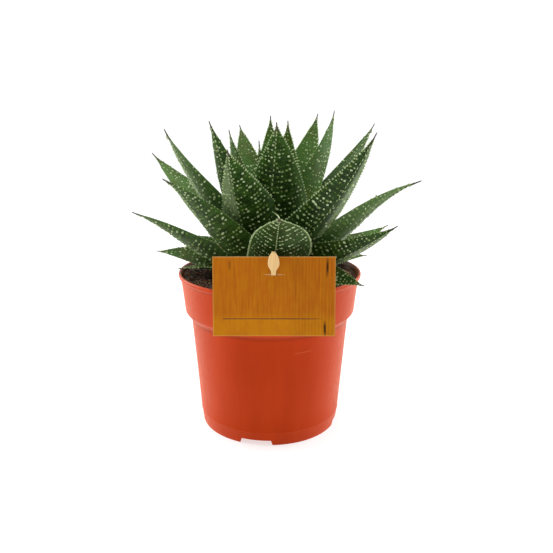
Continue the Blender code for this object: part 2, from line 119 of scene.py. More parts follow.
def make_piece(name, verts, faces, finishes, crease=35.0, values=None):
    """A mesh in millimetres as an object, smooth but for creases, with its per-point values."""
    mesh = bpy.data.meshes.new(name)
    mesh.from_pydata((np.asarray(verts, dtype=float) * MM).tolist(), [], faces)
    for key, numbers in (values or {}).items():
        layer = mesh.attributes.new(key, "FLOAT", "POINT")
        layer.data.foreach_set("value", np.asarray(numbers, dtype=np.float32))
    mesh.validate()
    shape = bmesh.new()
    shape.from_mesh(mesh)
    bmesh.ops.recalc_face_normals(shape, faces=shape.faces)
    shape.to_mesh(mesh)
    shape.free()
    smooth(mesh, crease)
    for finish in finishes:
        mesh.materials.append(finish)
    made = bpy.data.objects.new(name, mesh)
    bpy.context.scene.collection.objects.link(made)
    return made


def join_rings(low, high, count):
    """Quads between two rings of points, each numbered from its first point."""
    return [(low + k, low + (k + 1) % count, high + (k + 1) % count, high + k)
            for k in range(count)]


def turned(wall, sides):
    """Points and faces of a wall of (radius, height) points turned about the upright axis."""
    verts = []
    rings = []
    for radius, height in wall:
        count = 1 if radius == 0 else sides
        rings.append([len(verts) + (k % count) for k in range(sides)])
        for k in range(count):
            a = 2 * math.pi * k / sides
            verts.append((radius * math.cos(a), radius * math.sin(a), height))
    faces = []
    for low, high in zip(rings, rings[1:] + rings[:1]):
        for k in range(sides):
            m = (k + 1) % sides
            face = list(dict.fromkeys((low[k], low[m], high[m], high[k])))
            if len(face) > 2:
                faces.append(face)
    return verts, faces


def cut_out(target, cutters):
    """Cut the cutters' shapes out of target and keep the result as its mesh."""
    for cutter in cutters:
        step = target.modifiers.new("cut", "BOOLEAN")
        step.solver = "EXACT"
        step.object = cutter
    graph = bpy.context.evaluated_depsgraph_get()
    mesh = bpy.data.meshes.new_from_object(target.evaluated_get(graph))
    target.modifiers.clear()
    target.data = mesh
    for cutter in cutters:
        bpy.data.objects.remove(cutter, do_unlink=True)


# Polypropylene, terracotta orange, injection moulded: an even soft gloss with slight
# streaks of colour, faint scuffs and a very fine orange-peel skin.
pot_plastic, tree, shader = new_finish("pot_polypropylene")
at = add(tree, "ShaderNodeTexCoord").outputs["Object"]
axes = add(tree, "ShaderNodeSeparateXYZ", {"Vector": at}).outputs
# flow marks run up the wall, about 14 mm wide
flow = add(tree, "ShaderNodeMapping", {"Vector": at, "Scale": (70, 70, 9)})
streaks = add(tree, "ShaderNodeTexNoise", {"Vector": flow, "Scale": 1.0, "Detail": 4.0})
colour = add(tree, "ShaderNodeValToRGB", {"Fac": streaks}, ((0.3, "#b8330c"), (0.72, "#c43a10")))
# fine specks of peat dust, about 2 mm apart
dust = add(tree, "ShaderNodeTexNoise", {"Vector": at, "Scale": 420.0, "Detail": 5.0,
                                        "Roughness": 0.65})
specks = add(tree, "ShaderNodeValToRGB", {"Fac": dust}, ((0.66, 0.0), (0.80, 0.35)))
coats = [(specks, "#8f2e10")]
# painted shade: the wall is darker in its corners, at the foot of the collar's step and under the
# lip, where shade falls: the height of each, and how far it reaches
for corner, reach in ((74.1, 2.4), (100.6, 0.9)):
    off = add(tree, "ShaderNodeMath", {0: axes["Z"], 1: corner * MM}, operation="SUBTRACT")
    off = add(tree, "ShaderNodeMath", {0: off}, operation="ABSOLUTE")
    corner_shade = add(tree, "ShaderNodeMapRange", {"Value": off, "From Min": reach * MM,
                                             "From Max": 0.0, "To Max": 0.55})
    coats.append((corner_shade, "#8a2a0c"))
# one long pale rub on the front wall, 13 mm long, 0.4 mm wide and rising to one side
RUB_MID, RUB_HEIGHT, RUB_SLOPE = 20.5 * MM, 62.8 * MM, 0.05
rise = add(tree, "ShaderNodeMath", {0: axes["X"], 1: -RUB_SLOPE, 2: -RUB_HEIGHT},
           operation="MULTIPLY_ADD")
line = add(tree, "ShaderNodeMath", {0: axes["Z"], 1: rise}, operation="ADD")
line = add(tree, "ShaderNodeMath", {0: line}, operation="ABSOLUTE")
rub_width = add(tree, "ShaderNodeMapRange", {"Value": line, "From Min": 0.45 * MM,
                                             "From Max": 0.1 * MM, "To Max": 0.32})
off_mid = add(tree, "ShaderNodeMath", {0: axes["X"], 1: RUB_MID}, operation="SUBTRACT")
off_mid = add(tree, "ShaderNodeMath", {0: off_mid}, operation="ABSOLUTE")
rub_length = add(tree, "ShaderNodeMapRange", {"Value": off_mid, "From Min": 6.8 * MM,
                                              "From Max": 3.5 * MM})
in_front = add(tree, "ShaderNodeMath", {0: axes["Y"], 1: 0.0}, operation="LESS_THAN")
rub = add(tree, "ShaderNodeMath", {0: rub_width, 1: rub_length}, operation="MULTIPLY")
rub = add(tree, "ShaderNodeMath", {0: rub, 1: in_front}, operation="MULTIPLY")
coats.append((rub, "#dd7650"))
# painted shade inside the lip: the wall there is painted near black where shade falls, darker
# towards the bed;
# the line half way through the lip's wall leans out as it rises
LIP_LEAN, LIP_MID, BED_EDGE = 0.387, 19.22 * MM, 100.3 * MM
flat = add(tree, "ShaderNodeCombineXYZ", {"X": axes["X"], "Y": axes["Y"]})
radius = add(tree, "ShaderNodeVectorMath", {0: flat}, operation="LENGTH")
lean = add(tree, "ShaderNodeMath", {0: axes["Z"], 1: -LIP_LEAN, 2: -LIP_MID},
           operation="MULTIPLY_ADD")
past_mid = add(tree, "ShaderNodeMath", {0: radius, 1: lean}, operation="ADD")
inside = add(tree, "ShaderNodeMapRange", {"Value": past_mid, "From Min": 0.4 * MM,
                                          "From Max": -0.3 * MM})
above_bed = add(tree, "ShaderNodeMath", {0: axes["Z"], 1: BED_EDGE}, operation="GREATER_THAN")
level = add(tree, "ShaderNodeMath", {0: dust, 1: 4.0 * MM, 2: axes["Z"]},
            operation="MULTIPLY_ADD")
depth = add(tree, "ShaderNodeMapRange", {"Value": level, "From Min": 106.8 * MM,
                                         "From Max": 105.4 * MM, "To Max": 0.97})
inner_wall_shade = add(tree, "ShaderNodeMath", {0: inside, 1: above_bed}, operation="MULTIPLY")
inner_wall_shade = add(tree, "ShaderNodeMath", {0: inner_wall_shade, 1: depth}, operation="MULTIPLY")
coats.append((inner_wall_shade, "#120804"))
for share, over in coats:
    colour = add(tree, "ShaderNodeMix", {"Factor": share, "A": colour, "B": over},
                 data_type="RGBA")
# scuffs, thin marks 1 mm by 7 mm that lower the gloss, and the orange peel
scuff_map = add(tree, "ShaderNodeMapping", {"Vector": at, "Rotation": (0.4, 0.9, 0.3),
                                            "Scale": (900, 140, 260)})
scuffs = add(tree, "ShaderNodeTexNoise", {"Vector": scuff_map, "Scale": 1.0, "Detail": 3.0,
                                          "Roughness": 0.6})
gloss = add(tree, "ShaderNodeMapRange", {"Value": scuffs, "From Min": 0.35, "From Max": 0.75,
                                         "To Min": 0.36, "To Max": 0.52})
peel = add(tree, "ShaderNodeTexNoise", {"Vector": at, "Scale": 1100.0, "Detail": 3.0})
height = add(tree, "ShaderNodeMath", {0: peel, 1: scuffs}, operation="ADD")
relief = add(tree, "ShaderNodeBump", {"Height": height, "Strength": 0.12,
                                      "Distance": 0.2 * MM})
wire(tree, shader, {"Base Color": colour, "Roughness": gloss, "Normal": relief, "IOR": 1.3,
                    "Specular Tint": "#ffbe7c", "Sheen Weight": 0.3, "Sheen Roughness": 0.45,
                    "Sheen Tint": "#ff9c58"})

verts, faces = turned(POT_WALL, POT_SIDES)
pot = make_piece("nursery_pot", verts, faces, [pot_plastic], POT_CREASE)
cutters = []
for turn in NOTCHES:
    c, s = math.cos(math.radians(turn)), math.sin(math.radians(turn))
    block = [(r * c - half * s, r * s + half * c, z)
             for r in NOTCH_REACH for half, z in NOTCH_SHAPE]
    ends = [tuple(range(6)), tuple(range(6, 12))]
    cutters.append(make_piece("notch", block, join_rings(0, 6, 6) + ends, []))
for r, turn in DRAINS:
    a = math.radians(turn)
    hole, hole_faces = turned(DRAIN_SHAPE, 40)
    hole = [(x + r * math.cos(a), y + r * math.sin(a), z) for x, y, z in hole]
    cutters.append(make_piece("drain", hole, hole_faces, []))
cut_out(pot, cutters)
smooth(pot.data, POT_CREASE)
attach(pot, "root")
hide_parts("pot")


# Peat bed: dark milled peat with bark fines, a few fibres and pale grit, pressed by hand round
# the plant to just below the lip, with a hollow where the lowest leaves rest.
# Loose crumbs of every size lie on it.

SOIL_TOP = 101.6
SOIL_DIP = 7.1
STEM_HOLE = 7.3
HOLE_STEPS = (92.0, 61.7)
EDGE_RADIUS = 56.8
SOIL_WALL = ((57.0, 100.0), (54.7, 79.6), (50.8, 74.6), (45.8, 10.0), (45.1, 5.9), (0.0, 5.9))

noise_seed = np.random.RandomState(41)
NOISE_GRID = noise_seed.rand(64, 64)


def lumps(x, y, size):
    """Smooth random heights from 0 to 1 with lumps of that size in millimetres."""
    gx = np.asarray(x) / size + 20.3
    gy = np.asarray(y) / size + 31.7
    ix = np.floor(gx).astype(int)
    iy = np.floor(gy).astype(int)
    fx = gx - ix
    fy = gy - iy
    fx = fx * fx * (3 - 2 * fx)
    fy = fy * fy * (3 - 2 * fy)
    c00 = NOISE_GRID[ix % 64, iy % 64]
    c10 = NOISE_GRID[(ix + 1) % 64, iy % 64]
    c01 = NOISE_GRID[ix % 64, (iy + 1) % 64]
    c11 = NOISE_GRID[(ix + 1) % 64, (iy + 1) % 64]
    return (c00 * (1 - fx) + c10 * fx) * (1 - fy) + (c01 * (1 - fx) + c11 * fx) * fy


def soil_height(x, y):
    """Height of the peat: broad hollows, clods of 6 mm and crumbs of 2 mm."""
    h = 2.0 * (lumps(x, y, 19.0) - 0.5) + 1.6 * (lumps(x, y, 6.3) - 0.5)
    h = h + 1.5 * (lumps(x + 3, y, 2.9) - 0.45) + 0.8 * (lumps(x, y + 9, 1.45) - 0.5)
    near = np.clip((np.hypot(x, y) - 10.0) / 44.0, 0, 1)
    return SOIL_TOP + h - SOIL_DIP * (1 - near * near * (3 - 2 * near))


# Peat, milled and dried at the surface: no shine, near black when damp, brown where it
# dries, with pale grit and reddish bark among it.
peat, tree, shader = new_finish("milled_peat")
at = add(tree, "ShaderNodeTexCoord").outputs["Object"]
kind = add(tree, "ShaderNodeAttribute", attribute_name="crumb").outputs["Fac"]
damp = add(tree, "ShaderNodeTexNoise", {"Vector": at, "Scale": 110.0, "Detail": 6.0,
                                        "Roughness": 0.7})
earth = add(tree, "ShaderNodeValToRGB", {"Fac": damp}, ((0.32, "#211508"), (0.68, "#5e4122")))
# crumb values: 0 is the bed, up to 0.5 peat, 0.5 to 0.86 bark and fibre, above it grit
bits = add(tree, "ShaderNodeValToRGB", {"Fac": kind}, (
    (0.0, "#2e1d12"), (0.3, "#55341f"), (0.6, "#7e4a2a"), (0.72, "#9a6b45"), (0.88, "#b08a5e"),
    (0.96, "#d0bb98")))
bits.color_ramp.interpolation = "CONSTANT"
is_bit = add(tree, "ShaderNodeMath", {0: kind, 1: 0.02}, operation="GREATER_THAN")
colour = add(tree, "ShaderNodeMix", {"Factor": is_bit, "A": earth, "B": bits},
             data_type="RGBA")
grain = add(tree, "ShaderNodeTexNoise", {"Vector": at, "Scale": 1500.0, "Detail": 5.0,
                                         "Roughness": 0.7})
shade = add(tree, "ShaderNodeMapRange", {"Value": grain, "From Min": 0.3, "From Max": 0.7,
                                         "To Min": 0.55, "To Max": 1.25})
mottled = add(tree, "ShaderNodeMix", {"Factor": 1.0, "A": colour, "B": shade},
              data_type="RGBA", blend_type="MULTIPLY")
relief = add(tree, "ShaderNodeBump", {"Height": grain, "Strength": 0.8, "Distance": 0.6 * MM})
matt = add(tree, "ShaderNodeMapRange", {"Value": damp, "To Min": 0.80, "To Max": 1.0})
wire(tree, shader, {"Base Color": mottled, "Roughness": matt, "Normal": relief})

rings = np.concatenate(([STEM_HOLE], np.linspace(8.0, 56.4, 63), [EDGE_RADIUS]))
around = 190
angles = np.arange(around) * 2 * math.pi / around
verts = []
for r in rings:
    x, y = r * np.cos(angles), r * np.sin(angles)
    # the last ring is tucked down against the pot
    verts += list(zip(x, y, soil_height(x, y) - (0.8 if r == EDGE_RADIUS else 0.0)))
for r, z in SOIL_WALL:
    verts += [(max(r, 0.01) * math.cos(a), max(r, 0.01) * math.sin(a), z) for a in angles]
for z in HOLE_STEPS:
    verts += [(STEM_HOLE * math.cos(a), STEM_HOLE * math.sin(a), z) for a in angles]
total = len(rings) + len(SOIL_WALL)
faces = []
for low, high in [(i, i + 1) for i in range(total - 1)] + [(0, total), (total, total + 1)]:
    faces += join_rings(low * around, high * around, around)
faces.append(tuple(range((total + 1) * around, (total + 2) * around)))
faces.append(tuple(range((total - 1) * around, total * around)))
crumb = [0.0] * len(verts)

# crumbs: uneven lumps of peat, flakes of bark, grit, and a few fibres
dice = random.Random(7)
BALL = [(0, 0, 1), (0.89, 0, 0.45), (0.28, 0.85, 0.45), (-0.72, 0.53, 0.45), (-0.72, -0.53, 0.45),
        (0.28, -0.85, 0.45), (0.72, 0.53, -0.45), (-0.28, 0.85, -0.45), (-0.89, 0, -0.45),
        (-0.28, -0.85, -0.45), (0.72, -0.53, -0.45), (0, 0, -1)]
BALL_FACES = [(0, 1, 2), (0, 2, 3), (0, 3, 4), (0, 4, 5), (0, 5, 1), (1, 6, 2), (2, 7, 3),
              (3, 8, 4), (4, 9, 5), (5, 10, 1), (6, 7, 2), (7, 8, 3), (8, 9, 4), (9, 10, 5),
              (10, 6, 1), (11, 7, 6), (11, 8, 7), (11, 9, 8), (11, 10, 9), (11, 6, 10)]
CRUMBS = 2300
# up to each draw: the spans of length, breadth and thickness in mm, and of the crumb value
CRUMB_KINDS = ((0.74, (0.4, 1.25), (0.4, 1.1), (0.35, 0.8), (0.05, 0.5)),
               (0.90, (0.9, 2.4), (0.5, 1.1), (0.2, 0.45), (0.6, 0.86)),
               (0.95, (0.5, 0.95), (0.45, 0.8), (0.4, 0.7), (0.88, 1.0)),
               (1.01, (2.5, 6.0), (0.14, 0.26), (0.14, 0.24), (0.5, 0.8)))
for k in range(CRUMBS):
    r = math.sqrt(dice.uniform(8.4 ** 2, 55.8 ** 2))
    a = dice.uniform(0, 2 * math.pi)
    x, y = r * math.cos(a), r * math.sin(a)
    draw = dice.random()
    spans = next(kind[1:] for kind in CRUMB_KINDS if draw < kind[0])
    *size, value = [dice.uniform(*span) for span in spans]
    if r + size[0] > EDGE_RADIUS - 0.1:
        continue
    spin = dice.uniform(0, math.pi)
    tilt = dice.uniform(-0.35, 0.35)
    z = float(soil_height(x, y)) + size[2] * 0.35
    start = len(verts)
    for px, py, pz in BALL:
        bend = dice.uniform(0.75, 1.15)
        qx = px * size[0] * bend
        qy = py * size[1] * bend
        qz = pz * size[2] * bend + qx * tilt
        verts.append((x + qx * math.cos(spin) - qy * math.sin(spin),
                      y + qx * math.sin(spin) + qy * math.cos(spin), z + qz))
    faces += [tuple(start + i for i in face) for face in BALL_FACES]
    crumb += [value] * len(BALL)
soil = make_piece("peat_bed", verts, faces, [peat], 55.0, {"crumb": crumb})
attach(soil, "root")
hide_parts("soil")


# Stem: the short living crown that the leaves sit on, as thick as a finger, ringed with the
# scars and dry edges of leaves it has shed.

STEM_R = 7.0
STEM_FROM = 62.0
STEM_TO = 107.0

# Living stem under a dry skin: pale green where it grows, tan and papery lower down.
stem_skin, tree, shader = new_finish("crown_skin")
at = add(tree, "ShaderNodeTexCoord").outputs["Object"]
axes = add(tree, "ShaderNodeSeparateXYZ", {"Vector": at}).outputs
growing = add(tree, "ShaderNodeMapRange", {"Value": axes["Z"], "From Min": 94.0 * MM,
                                           "From Max": 106.0 * MM})
tone = add(tree, "ShaderNodeValToRGB", {"Fac": growing}, ((0.0, "#6f5a3c"), (1.0, "#5d7a3d")))
fibre_map = add(tree, "ShaderNodeMapping", {"Vector": at, "Scale": (900, 900, 120)})
fibres = add(tree, "ShaderNodeTexNoise", {"Vector": fibre_map, "Scale": 1.0, "Detail": 4.0})
fade = add(tree, "ShaderNodeMapRange", {"Value": fibres, "To Min": 0.6, "To Max": 1.3})
colour = add(tree, "ShaderNodeMix", {"Factor": 1.0, "A": tone, "B": fade},
             data_type="RGBA", blend_type="MULTIPLY")
relief = add(tree, "ShaderNodeBump", {"Height": fibres, "Strength": 0.5, "Distance": 0.4 * MM})
wire(tree, shader, {"Base Color": colour, "Roughness": 0.62, "Normal": relief})

wall = [(0.0, STEM_FROM), (3.6, STEM_FROM + 0.4), (5.6, STEM_FROM + 2.5), (6.5, STEM_FROM + 6.0)]
# the scars of shed leaves ring the stem
for k in range(24):
    z = 70.0 + k * 1.28
    wall += [(6.62, z), (6.95, z + 0.42), (6.70, z + 0.86)]
wall += [(6.6, 101.4), (6.2, 103.0), (5.2, 104.8), (3.6, 106.2), (1.6, 106.9), (0.0, STEM_TO)]
verts, faces = turned(wall, 72)
# it is a little five-sided, turns as it rises and stays within its radius
swells = [1 + 0.012 * math.sin(5 * math.atan2(y, x) + z) for x, y, z in verts]
verts = [(min(x * k, STEM_R), y * k, z) for (x, y, z), k in zip(verts, swells)]
stem = make_piece("crown_stem", verts, faces, [stem_skin], 60.0)
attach(stem, "root")
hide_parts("stem")


# Leaves: thick lance-shaped succulent blades, hollowed above and keeled below, that taper to
# a fine dry point. White horny teeth stand along both edges, and rows of raised white
# tubercles cross both faces; the foot of each leaf is plain.

# innermost first: azimuth, tip reach, tip height, width, bow, flick, roll, sway, radius and
# height where the leaf leaves the crown, where its keel lies across it, and how blunt it is
Leaf = collections.namedtuple("Leaf", (
    "azimuth", "reach", "height", "width", "bow", "flick", "roll", "sway", "base_r", "base_z",
    "keel", "blunt"), defaults=(1.6,))
LEAVES = [Leaf(*row) for row in (
    (120, 14, 188, 15, -1.0, 0.0, 0, 0.0, 0.5, 105, 0.12),
    (57, 22, 200.5, 28, -2.5, 0.5, 35, -2.0, 2, 109, 0.12),
    (160, 28, 195, 23, -2.0, 0.0, -20, 0.0, 2, 109, 0.12),
    (89, 33, 203.5, 28, 0.0, 0.0, 5, 0.0, 2, 109, 0.12),
    (-85, 43.8, 200.8, 41.5, 7.4, -1.4, -8, 2.8, 3, 109.5, -0.19),
    (114.5, 51, 197, 31, 5.0, 1.0, -15, 2.0, 5, 110, 0.12),
    (11, 42, 207, 29, -0.6, -2.9, 27, 0.0, 5, 110, 0.12),
    (53.5, 56.5, 204.7, 32, 2.0, -1.0, 24, -1.5, 5, 110, 0.12),
    (-134.8, 49.7, 201.3, 29, -2.7, 1.8, 12.5, -1.3, 4, 108.5, 0.0),
    (130, 48, 170, 26, 2, -1, -8, 0, 5, 106, 0.12),
    (84, 66, 182, 30, 3.0, -1.0, 6, 0.0, 5, 106, 0.12),
    (15, 71.5, 198.7, 30, 0.0, -1.4, 18, -0.5, 5, 106, 0.12),
    (-112.6, 61, 186.4, 37, 9.9, -4.4, 27, -2.6, 6, 105.5, -0.38),
    (-156, 68, 196.7, 31, 0.5, -3.0, 16, -0.4, 5, 106, 0.12),
    (-49, 87, 196, 33, -0.5, -3.9, -17.5, -2.4, 6, 105, -0.05),
    (166, 81, 179.5, 30, 1.7, -1.6, -32, 0.0, 5.5, 105, 0.12),
    (112, 82, 163, 30, 4.0, -1.0, -8, 1.0, 5.5, 104, 0.1),
    (52, 85, 160, 30, 3.0, -1.0, 12, -1.0, 5.5, 104, 0.12),
    (-139, 80, 170, 31, -2.0, 5.0, 16, -2.0, 6, 103.5, -0.45),
    (-27, 98, 168, 28, -5.0, 7.5, -24, 1.5, 6, 102.5, 0.12),
    (-86.64, 80.45, 152.1, 36.4, -6.0, 6.2, -4.0, 3.7, 6.5, 104, -0.18, 3.4),
    (-172, 88.2, 144.9, 27.3, -4.6, 4.0, 31, 1.0, 6.5, 102, 0.04),
    (78, 82.2, 141, 28, 3.0, 1.0, 5, 1.0, 6.5, 102, 0.15),
    (138, 88, 146, 28, 2.0, 1.5, -14, 0.0, 6.5, 102, 0.1),
    (-33.2, 88.8, 142.6, 31, -0.5, -2.1, -35, 0.4, 6.5, 102.6, 0.0),
    (20, 89, 129, 25, 1.0, -2.0, 24, 0.0, 6.5, 101.5, 0.12),
    (50, 84, 122, 26, 3.5, 0.5, 10, 0.0, 6.5, 101.5, 0.14),
    (107, 82.5, 119, 26, 3.0, 1.0, -6, 0.0, 6.5, 101.5, 0.12),
    (149, 80, 120, 25, 3.0, 0.5, -16, 0.0, 6.5, 101.5, 0.1),
    (174, 77, 115, 25, 4.0, -0.8, -34, 0.0, 6.5, 101.5, 0.12),
    (24, 76, 106.5, 21, 4.0, -0.4, 36, 0.0, 6.5, 101.5, 0.12),
    (-47, 80, 109, 24, 4.0, -0.7, 36, 1.0, 6.5, 101.5, 0.12),
    (-170, 60.5, 107.5, 15, 2.5, 0.0, 0, 0.0, 6.5, 101.5, 0.12),
)]


# half of the dry awn's breadth in mm, at shares of the leaf's length
AWN = ((0.9, 0.955, 0.99, 1.0), (0.0, 0.42, 0.36, 0.03))


def half_width(t, blunt):
    """Half of a leaf's width over half of its greatest width, from foot to tip."""
    t = np.clip(np.asarray(t, dtype=float), 0.0, 0.9995)
    low = 0.72 + 0.28 * np.sin(np.minimum(t, 0.3) / 0.3 * math.pi / 2)
    high = (1.0 - (np.maximum(t - 0.3, 0.0) / 0.7) ** blunt) ** (0.8 + 0.25 * blunt)
    return np.where(t < 0.3, low, high)


def leaf_axes(leaf, t):
    """Midline point, direction along, across and up out of the leaf, for each t."""
    a = math.radians(leaf.azimuth)
    out = np.array((math.cos(a), math.sin(a), 0.0))
    side = np.array((-math.sin(a), math.cos(a), 0.0))
    start = leaf.base_r * out + np.array((0.0, 0.0, leaf.base_z))
    chord = leaf.reach * out + np.array((0.0, 0.0, leaf.height)) - start
    up = np.cross(chord, side)
    up /= -np.linalg.norm(up)
    if up[2] - 0.3 * (up @ out) < 0.0:
        up = -up

    def point(s):
        s = np.asarray(s, dtype=float)[:, None]
        # the bow and the sway peak at the middle, the flick at two thirds
        lift = leaf.bow * 4 * s * (1 - s) + leaf.flick * 6.75 * s * s * (1 - s)
        return start + chord * s + up * lift + side * (leaf.sway * 4 * s * (1 - s))

    t = np.atleast_1d(np.asarray(t, dtype=float))
    along = point(t + 0.02) - point(t - 0.02)
    along /= np.linalg.norm(along, axis=1)[:, None]
    across = side - (along @ side)[:, None] * along
    across /= np.linalg.norm(across, axis=1)[:, None]
    normal = np.cross(across, along)
    normal[(normal @ up) < 0] *= -1
    r = math.radians(leaf.roll)
    return (point(t), along, across * math.cos(r) + normal * math.sin(r),
            normal * math.cos(r) - across * math.sin(r))


def leaf_skin(leaf, t, u, face, phase=0.0):
    """Points on a leaf: u is -1 to 1 across it and face is 1 above or -1 below."""
    t = np.atleast_1d(np.asarray(t, dtype=float))
    u = np.broadcast_to(np.asarray(u, dtype=float), t.shape)
    here, along, across, normal = leaf_axes(leaf, t)
    # the last tenth narrows to a dry awn, which stays as thick as a bristle to its end
    wide = half_width(t, leaf.blunt) * (1.0 - 0.4 * np.clip((t - 0.88) / 0.09, 0, 1))
    half = np.maximum(leaf.width / 2 * wide, np.interp(t, *AWN))
    lift = half * 0.30 * (1 - np.clip(t, 0, 1)) ** 0.7 * u * u
    if face < 0:
        thick = leaf.width * 0.2 * (1 - 0.75 * t) * np.minimum(1.0, wide * 1.3)
        thick = np.maximum(thick, 1.4 * half * np.clip((t - 0.92) / 0.04, 0, 1))
        keel = np.clip((t - 0.25) / 0.35, 0, 1)
        rounded = np.clip(1 - np.abs(u) ** 2.2, 0, 1) ** 0.8
        reach = np.where(u < leaf.keel, 1 + leaf.keel, 1 - leaf.keel)
        ridge = np.clip(1 - np.abs(u - leaf.keel) / reach, 0, 1)
        lift = lift - thick * ((1 - keel) * rounded + keel * (0.55 * rounded + 0.6 * ridge))
    # slow waves of growth, stronger towards the edges
    wave = 0.28 * np.sin(9.0 * t + phase) * u * u + 0.10 * np.sin(55.0 * t + phase) * (1 - u * u)
    lift = lift + wave * np.minimum(1.0, wide * 1.5)
    return here + across * (half * u)[:, None] + normal * lift[:, None]


# Living leaf skin: cuticle with a thin wax, so a half-matt sheen over deep green. The
# tubercles, teeth and edge are dead white tissue, and the point dries to brown.
leaf_cuticle, tree, shader = new_finish("leaf_cuticle")
at = add(tree, "ShaderNodeTexCoord").outputs["Object"]
MARKS = ("along", "across", "above", "wart", "tint", "band", "painted_flank_light")
along, across, above, wart, tint, band, painted_flank_light = (
    add(tree, "ShaderNodeAttribute", attribute_name=name).outputs["Fac"] for name in MARKS)
# the lower face's green, with painted shade: near black from a quarter to four fifths along,
# where the heart of the rosette lies in shade, lighter at the foot and tip
lower_face_and_shade = add(tree, "ShaderNodeValToRGB", {"Fac": along}, (
    (0.0, "#587838"), (0.10, "#33541a"), (0.24, "#122308"), (0.60, "#0f1e06"), (0.78, "#142709"),
    (0.92, "#2c4e14"), (1.0, "#375c1c")))
upper = add(tree, "ShaderNodeValToRGB", {"Fac": along}, (
    (0.0, "#7d9a4a"), (0.2, "#4c7030"), (0.6, "#426628"), (0.9, "#527a30"), (1.0, "#5c7a38")))
# cloudy lighter green, in patches of about 5 mm
clouds = add(tree, "ShaderNodeTexNoise", {"Vector": at, "Scale": 190.0, "Detail": 5.0,
                                          "Roughness": 0.6})
cloudy = add(tree, "ShaderNodeMapRange", {"Value": clouds, "From Min": 0.45, "From Max": 0.72,
                                          "To Max": 0.4})
# the skin is lighter and yellower along the rows of tubercles
uneven = add(tree, "ShaderNodeMapRange", {"Value": clouds, "From Min": 0.35, "From Max": 0.6,
                                          "To Min": 0.2, "To Max": 0.75})
banded = add(tree, "ShaderNodeMath", {0: band, 1: uneven}, operation="MULTIPLY")
# the skin is brighter green towards both edges
edge = add(tree, "ShaderNodeMath", {0: across}, operation="ABSOLUTE")
near_edge = add(tree, "ShaderNodeMapRange", {"Value": edge, "From Min": 0.62,
                                             "From Max": 0.98, "To Max": 0.3})
# each leaf is made lighter or darker all over: partly its own tone, partly painted light and
# shade for how lit it stands
darker = add(tree, "ShaderNodeMath", {0: tint, 1: -1.0}, operation="MULTIPLY")
# olive patches, 12 mm across, on the upper face
patches = add(tree, "ShaderNodeTexNoise", {"Vector": at, "Scale": 75.0, "Detail": 4.0,
                                           "Roughness": 0.6})
olive = add(tree, "ShaderNodeMapRange", {"Value": patches, "From Min": 0.46, "From Max": 0.62,
                                         "To Max": 0.7})
olive = add(tree, "ShaderNodeMath", {0: olive, 1: above}, operation="MULTIPLY")
# painted light: a pale grey-green reflection painted on the flanks that face the side lights and
# the floor, broken into streaks that run along the leaf
on_leaf = add(tree, "ShaderNodeCombineXYZ", {"X": along, "Y": across, "Z": tint})
streak_map = add(tree, "ShaderNodeMapping", {"Vector": on_leaf, "Scale": (7.0, 16.0, 40.0)})
streaks = add(tree, "ShaderNodeTexNoise", {"Vector": streak_map, "Scale": 1.0, "Detail": 4.0,
                                           "Roughness": 0.6})
flank_light_streaks = add(tree, "ShaderNodeMapRange", {"Value": streaks, "From Min": 0.32, "From Max": 0.62,
                                        "To Min": 0.3, "To Max": 0.95})
flank_light_streaks = add(tree, "ShaderNodeMath", {0: painted_flank_light, 1: flank_light_streaks}, operation="MULTIPLY")
# tiny pale flecks, 0.3 mm, between the tubercles and not on the foot
flecks = add(tree, "ShaderNodeTexVoronoi", {"Vector": at, "Scale": 950.0})
flecks = add(tree, "ShaderNodeMapRange", {"Value": flecks, "From Min": 0.10, "From Max": 0.30,
                                          "To Min": 0.42, "To Max": 0.0})
off_foot = add(tree, "ShaderNodeMapRange", {"Value": along, "From Min": 0.12, "From Max": 0.3})
flecked = add(tree, "ShaderNodeMath", {0: flecks, 1: off_foot}, operation="MULTIPLY")
# the horny edge, about 0.4 mm wide, and the dry point
horny = add(tree, "ShaderNodeMapRange", {"Value": edge, "From Min": 0.98, "From Max": 1.0,
                                         "To Max": 0.28})
dry = add(tree, "ShaderNodeMapRange", {"Value": along, "From Min": 0.90, "From Max": 0.975})
# a low tubercle is still yellow-green, a high one is chalk white
chalk = add(tree, "ShaderNodeTexNoise", {"Vector": at, "Scale": 2600.0, "Detail": 2.0})
white = add(tree, "ShaderNodeValToRGB", {"Fac": chalk}, ((0.3, "#b0c886"), (0.7, "#e6f2ca")))
high = add(tree, "ShaderNodeMapRange", {"Value": wart, "From Min": 0.45, "From Max": 0.85})
dot = add(tree, "ShaderNodeMix", {"Factor": high, "A": "#8fa648", "B": white},
          data_type="RGBA")
colour = lower_face_and_shade
for share, over in ((above, upper), (cloudy, "#3a601c"), (banded, "#426a1c"),
                    (near_edge, "#44741e"), (tint, "#6b8a52"), (darker, "#132a0c"),
                    (olive, "#4f5c22"), (flank_light_streaks, "#86986f"), (flecked, "#8aa068"),
                    (horny, "#9fbf74"), (dry, "#443c2e"), (wart, dot)):
    colour = add(tree, "ShaderNodeMix", {"Factor": share, "A": colour, "B": over},
                 data_type="RGBA")
pores = add(tree, "ShaderNodeTexNoise", {"Vector": at, "Scale": 1900.0, "Detail": 4.0,
                                         "Roughness": 0.6})
relief = add(tree, "ShaderNodeBump", {"Height": pores, "Strength": 0.25, "Distance": 0.3 * MM})
wax = add(tree, "ShaderNodeMapRange", {"Value": clouds, "From Min": 0.3, "From Max": 0.7,
                                       "To Min": 0.34, "To Max": 0.50})
wire(tree, shader, {"Base Color": colour, "Roughness": wax, "Normal": relief, "IOR": 1.25})

FRONT_LEAF = 21
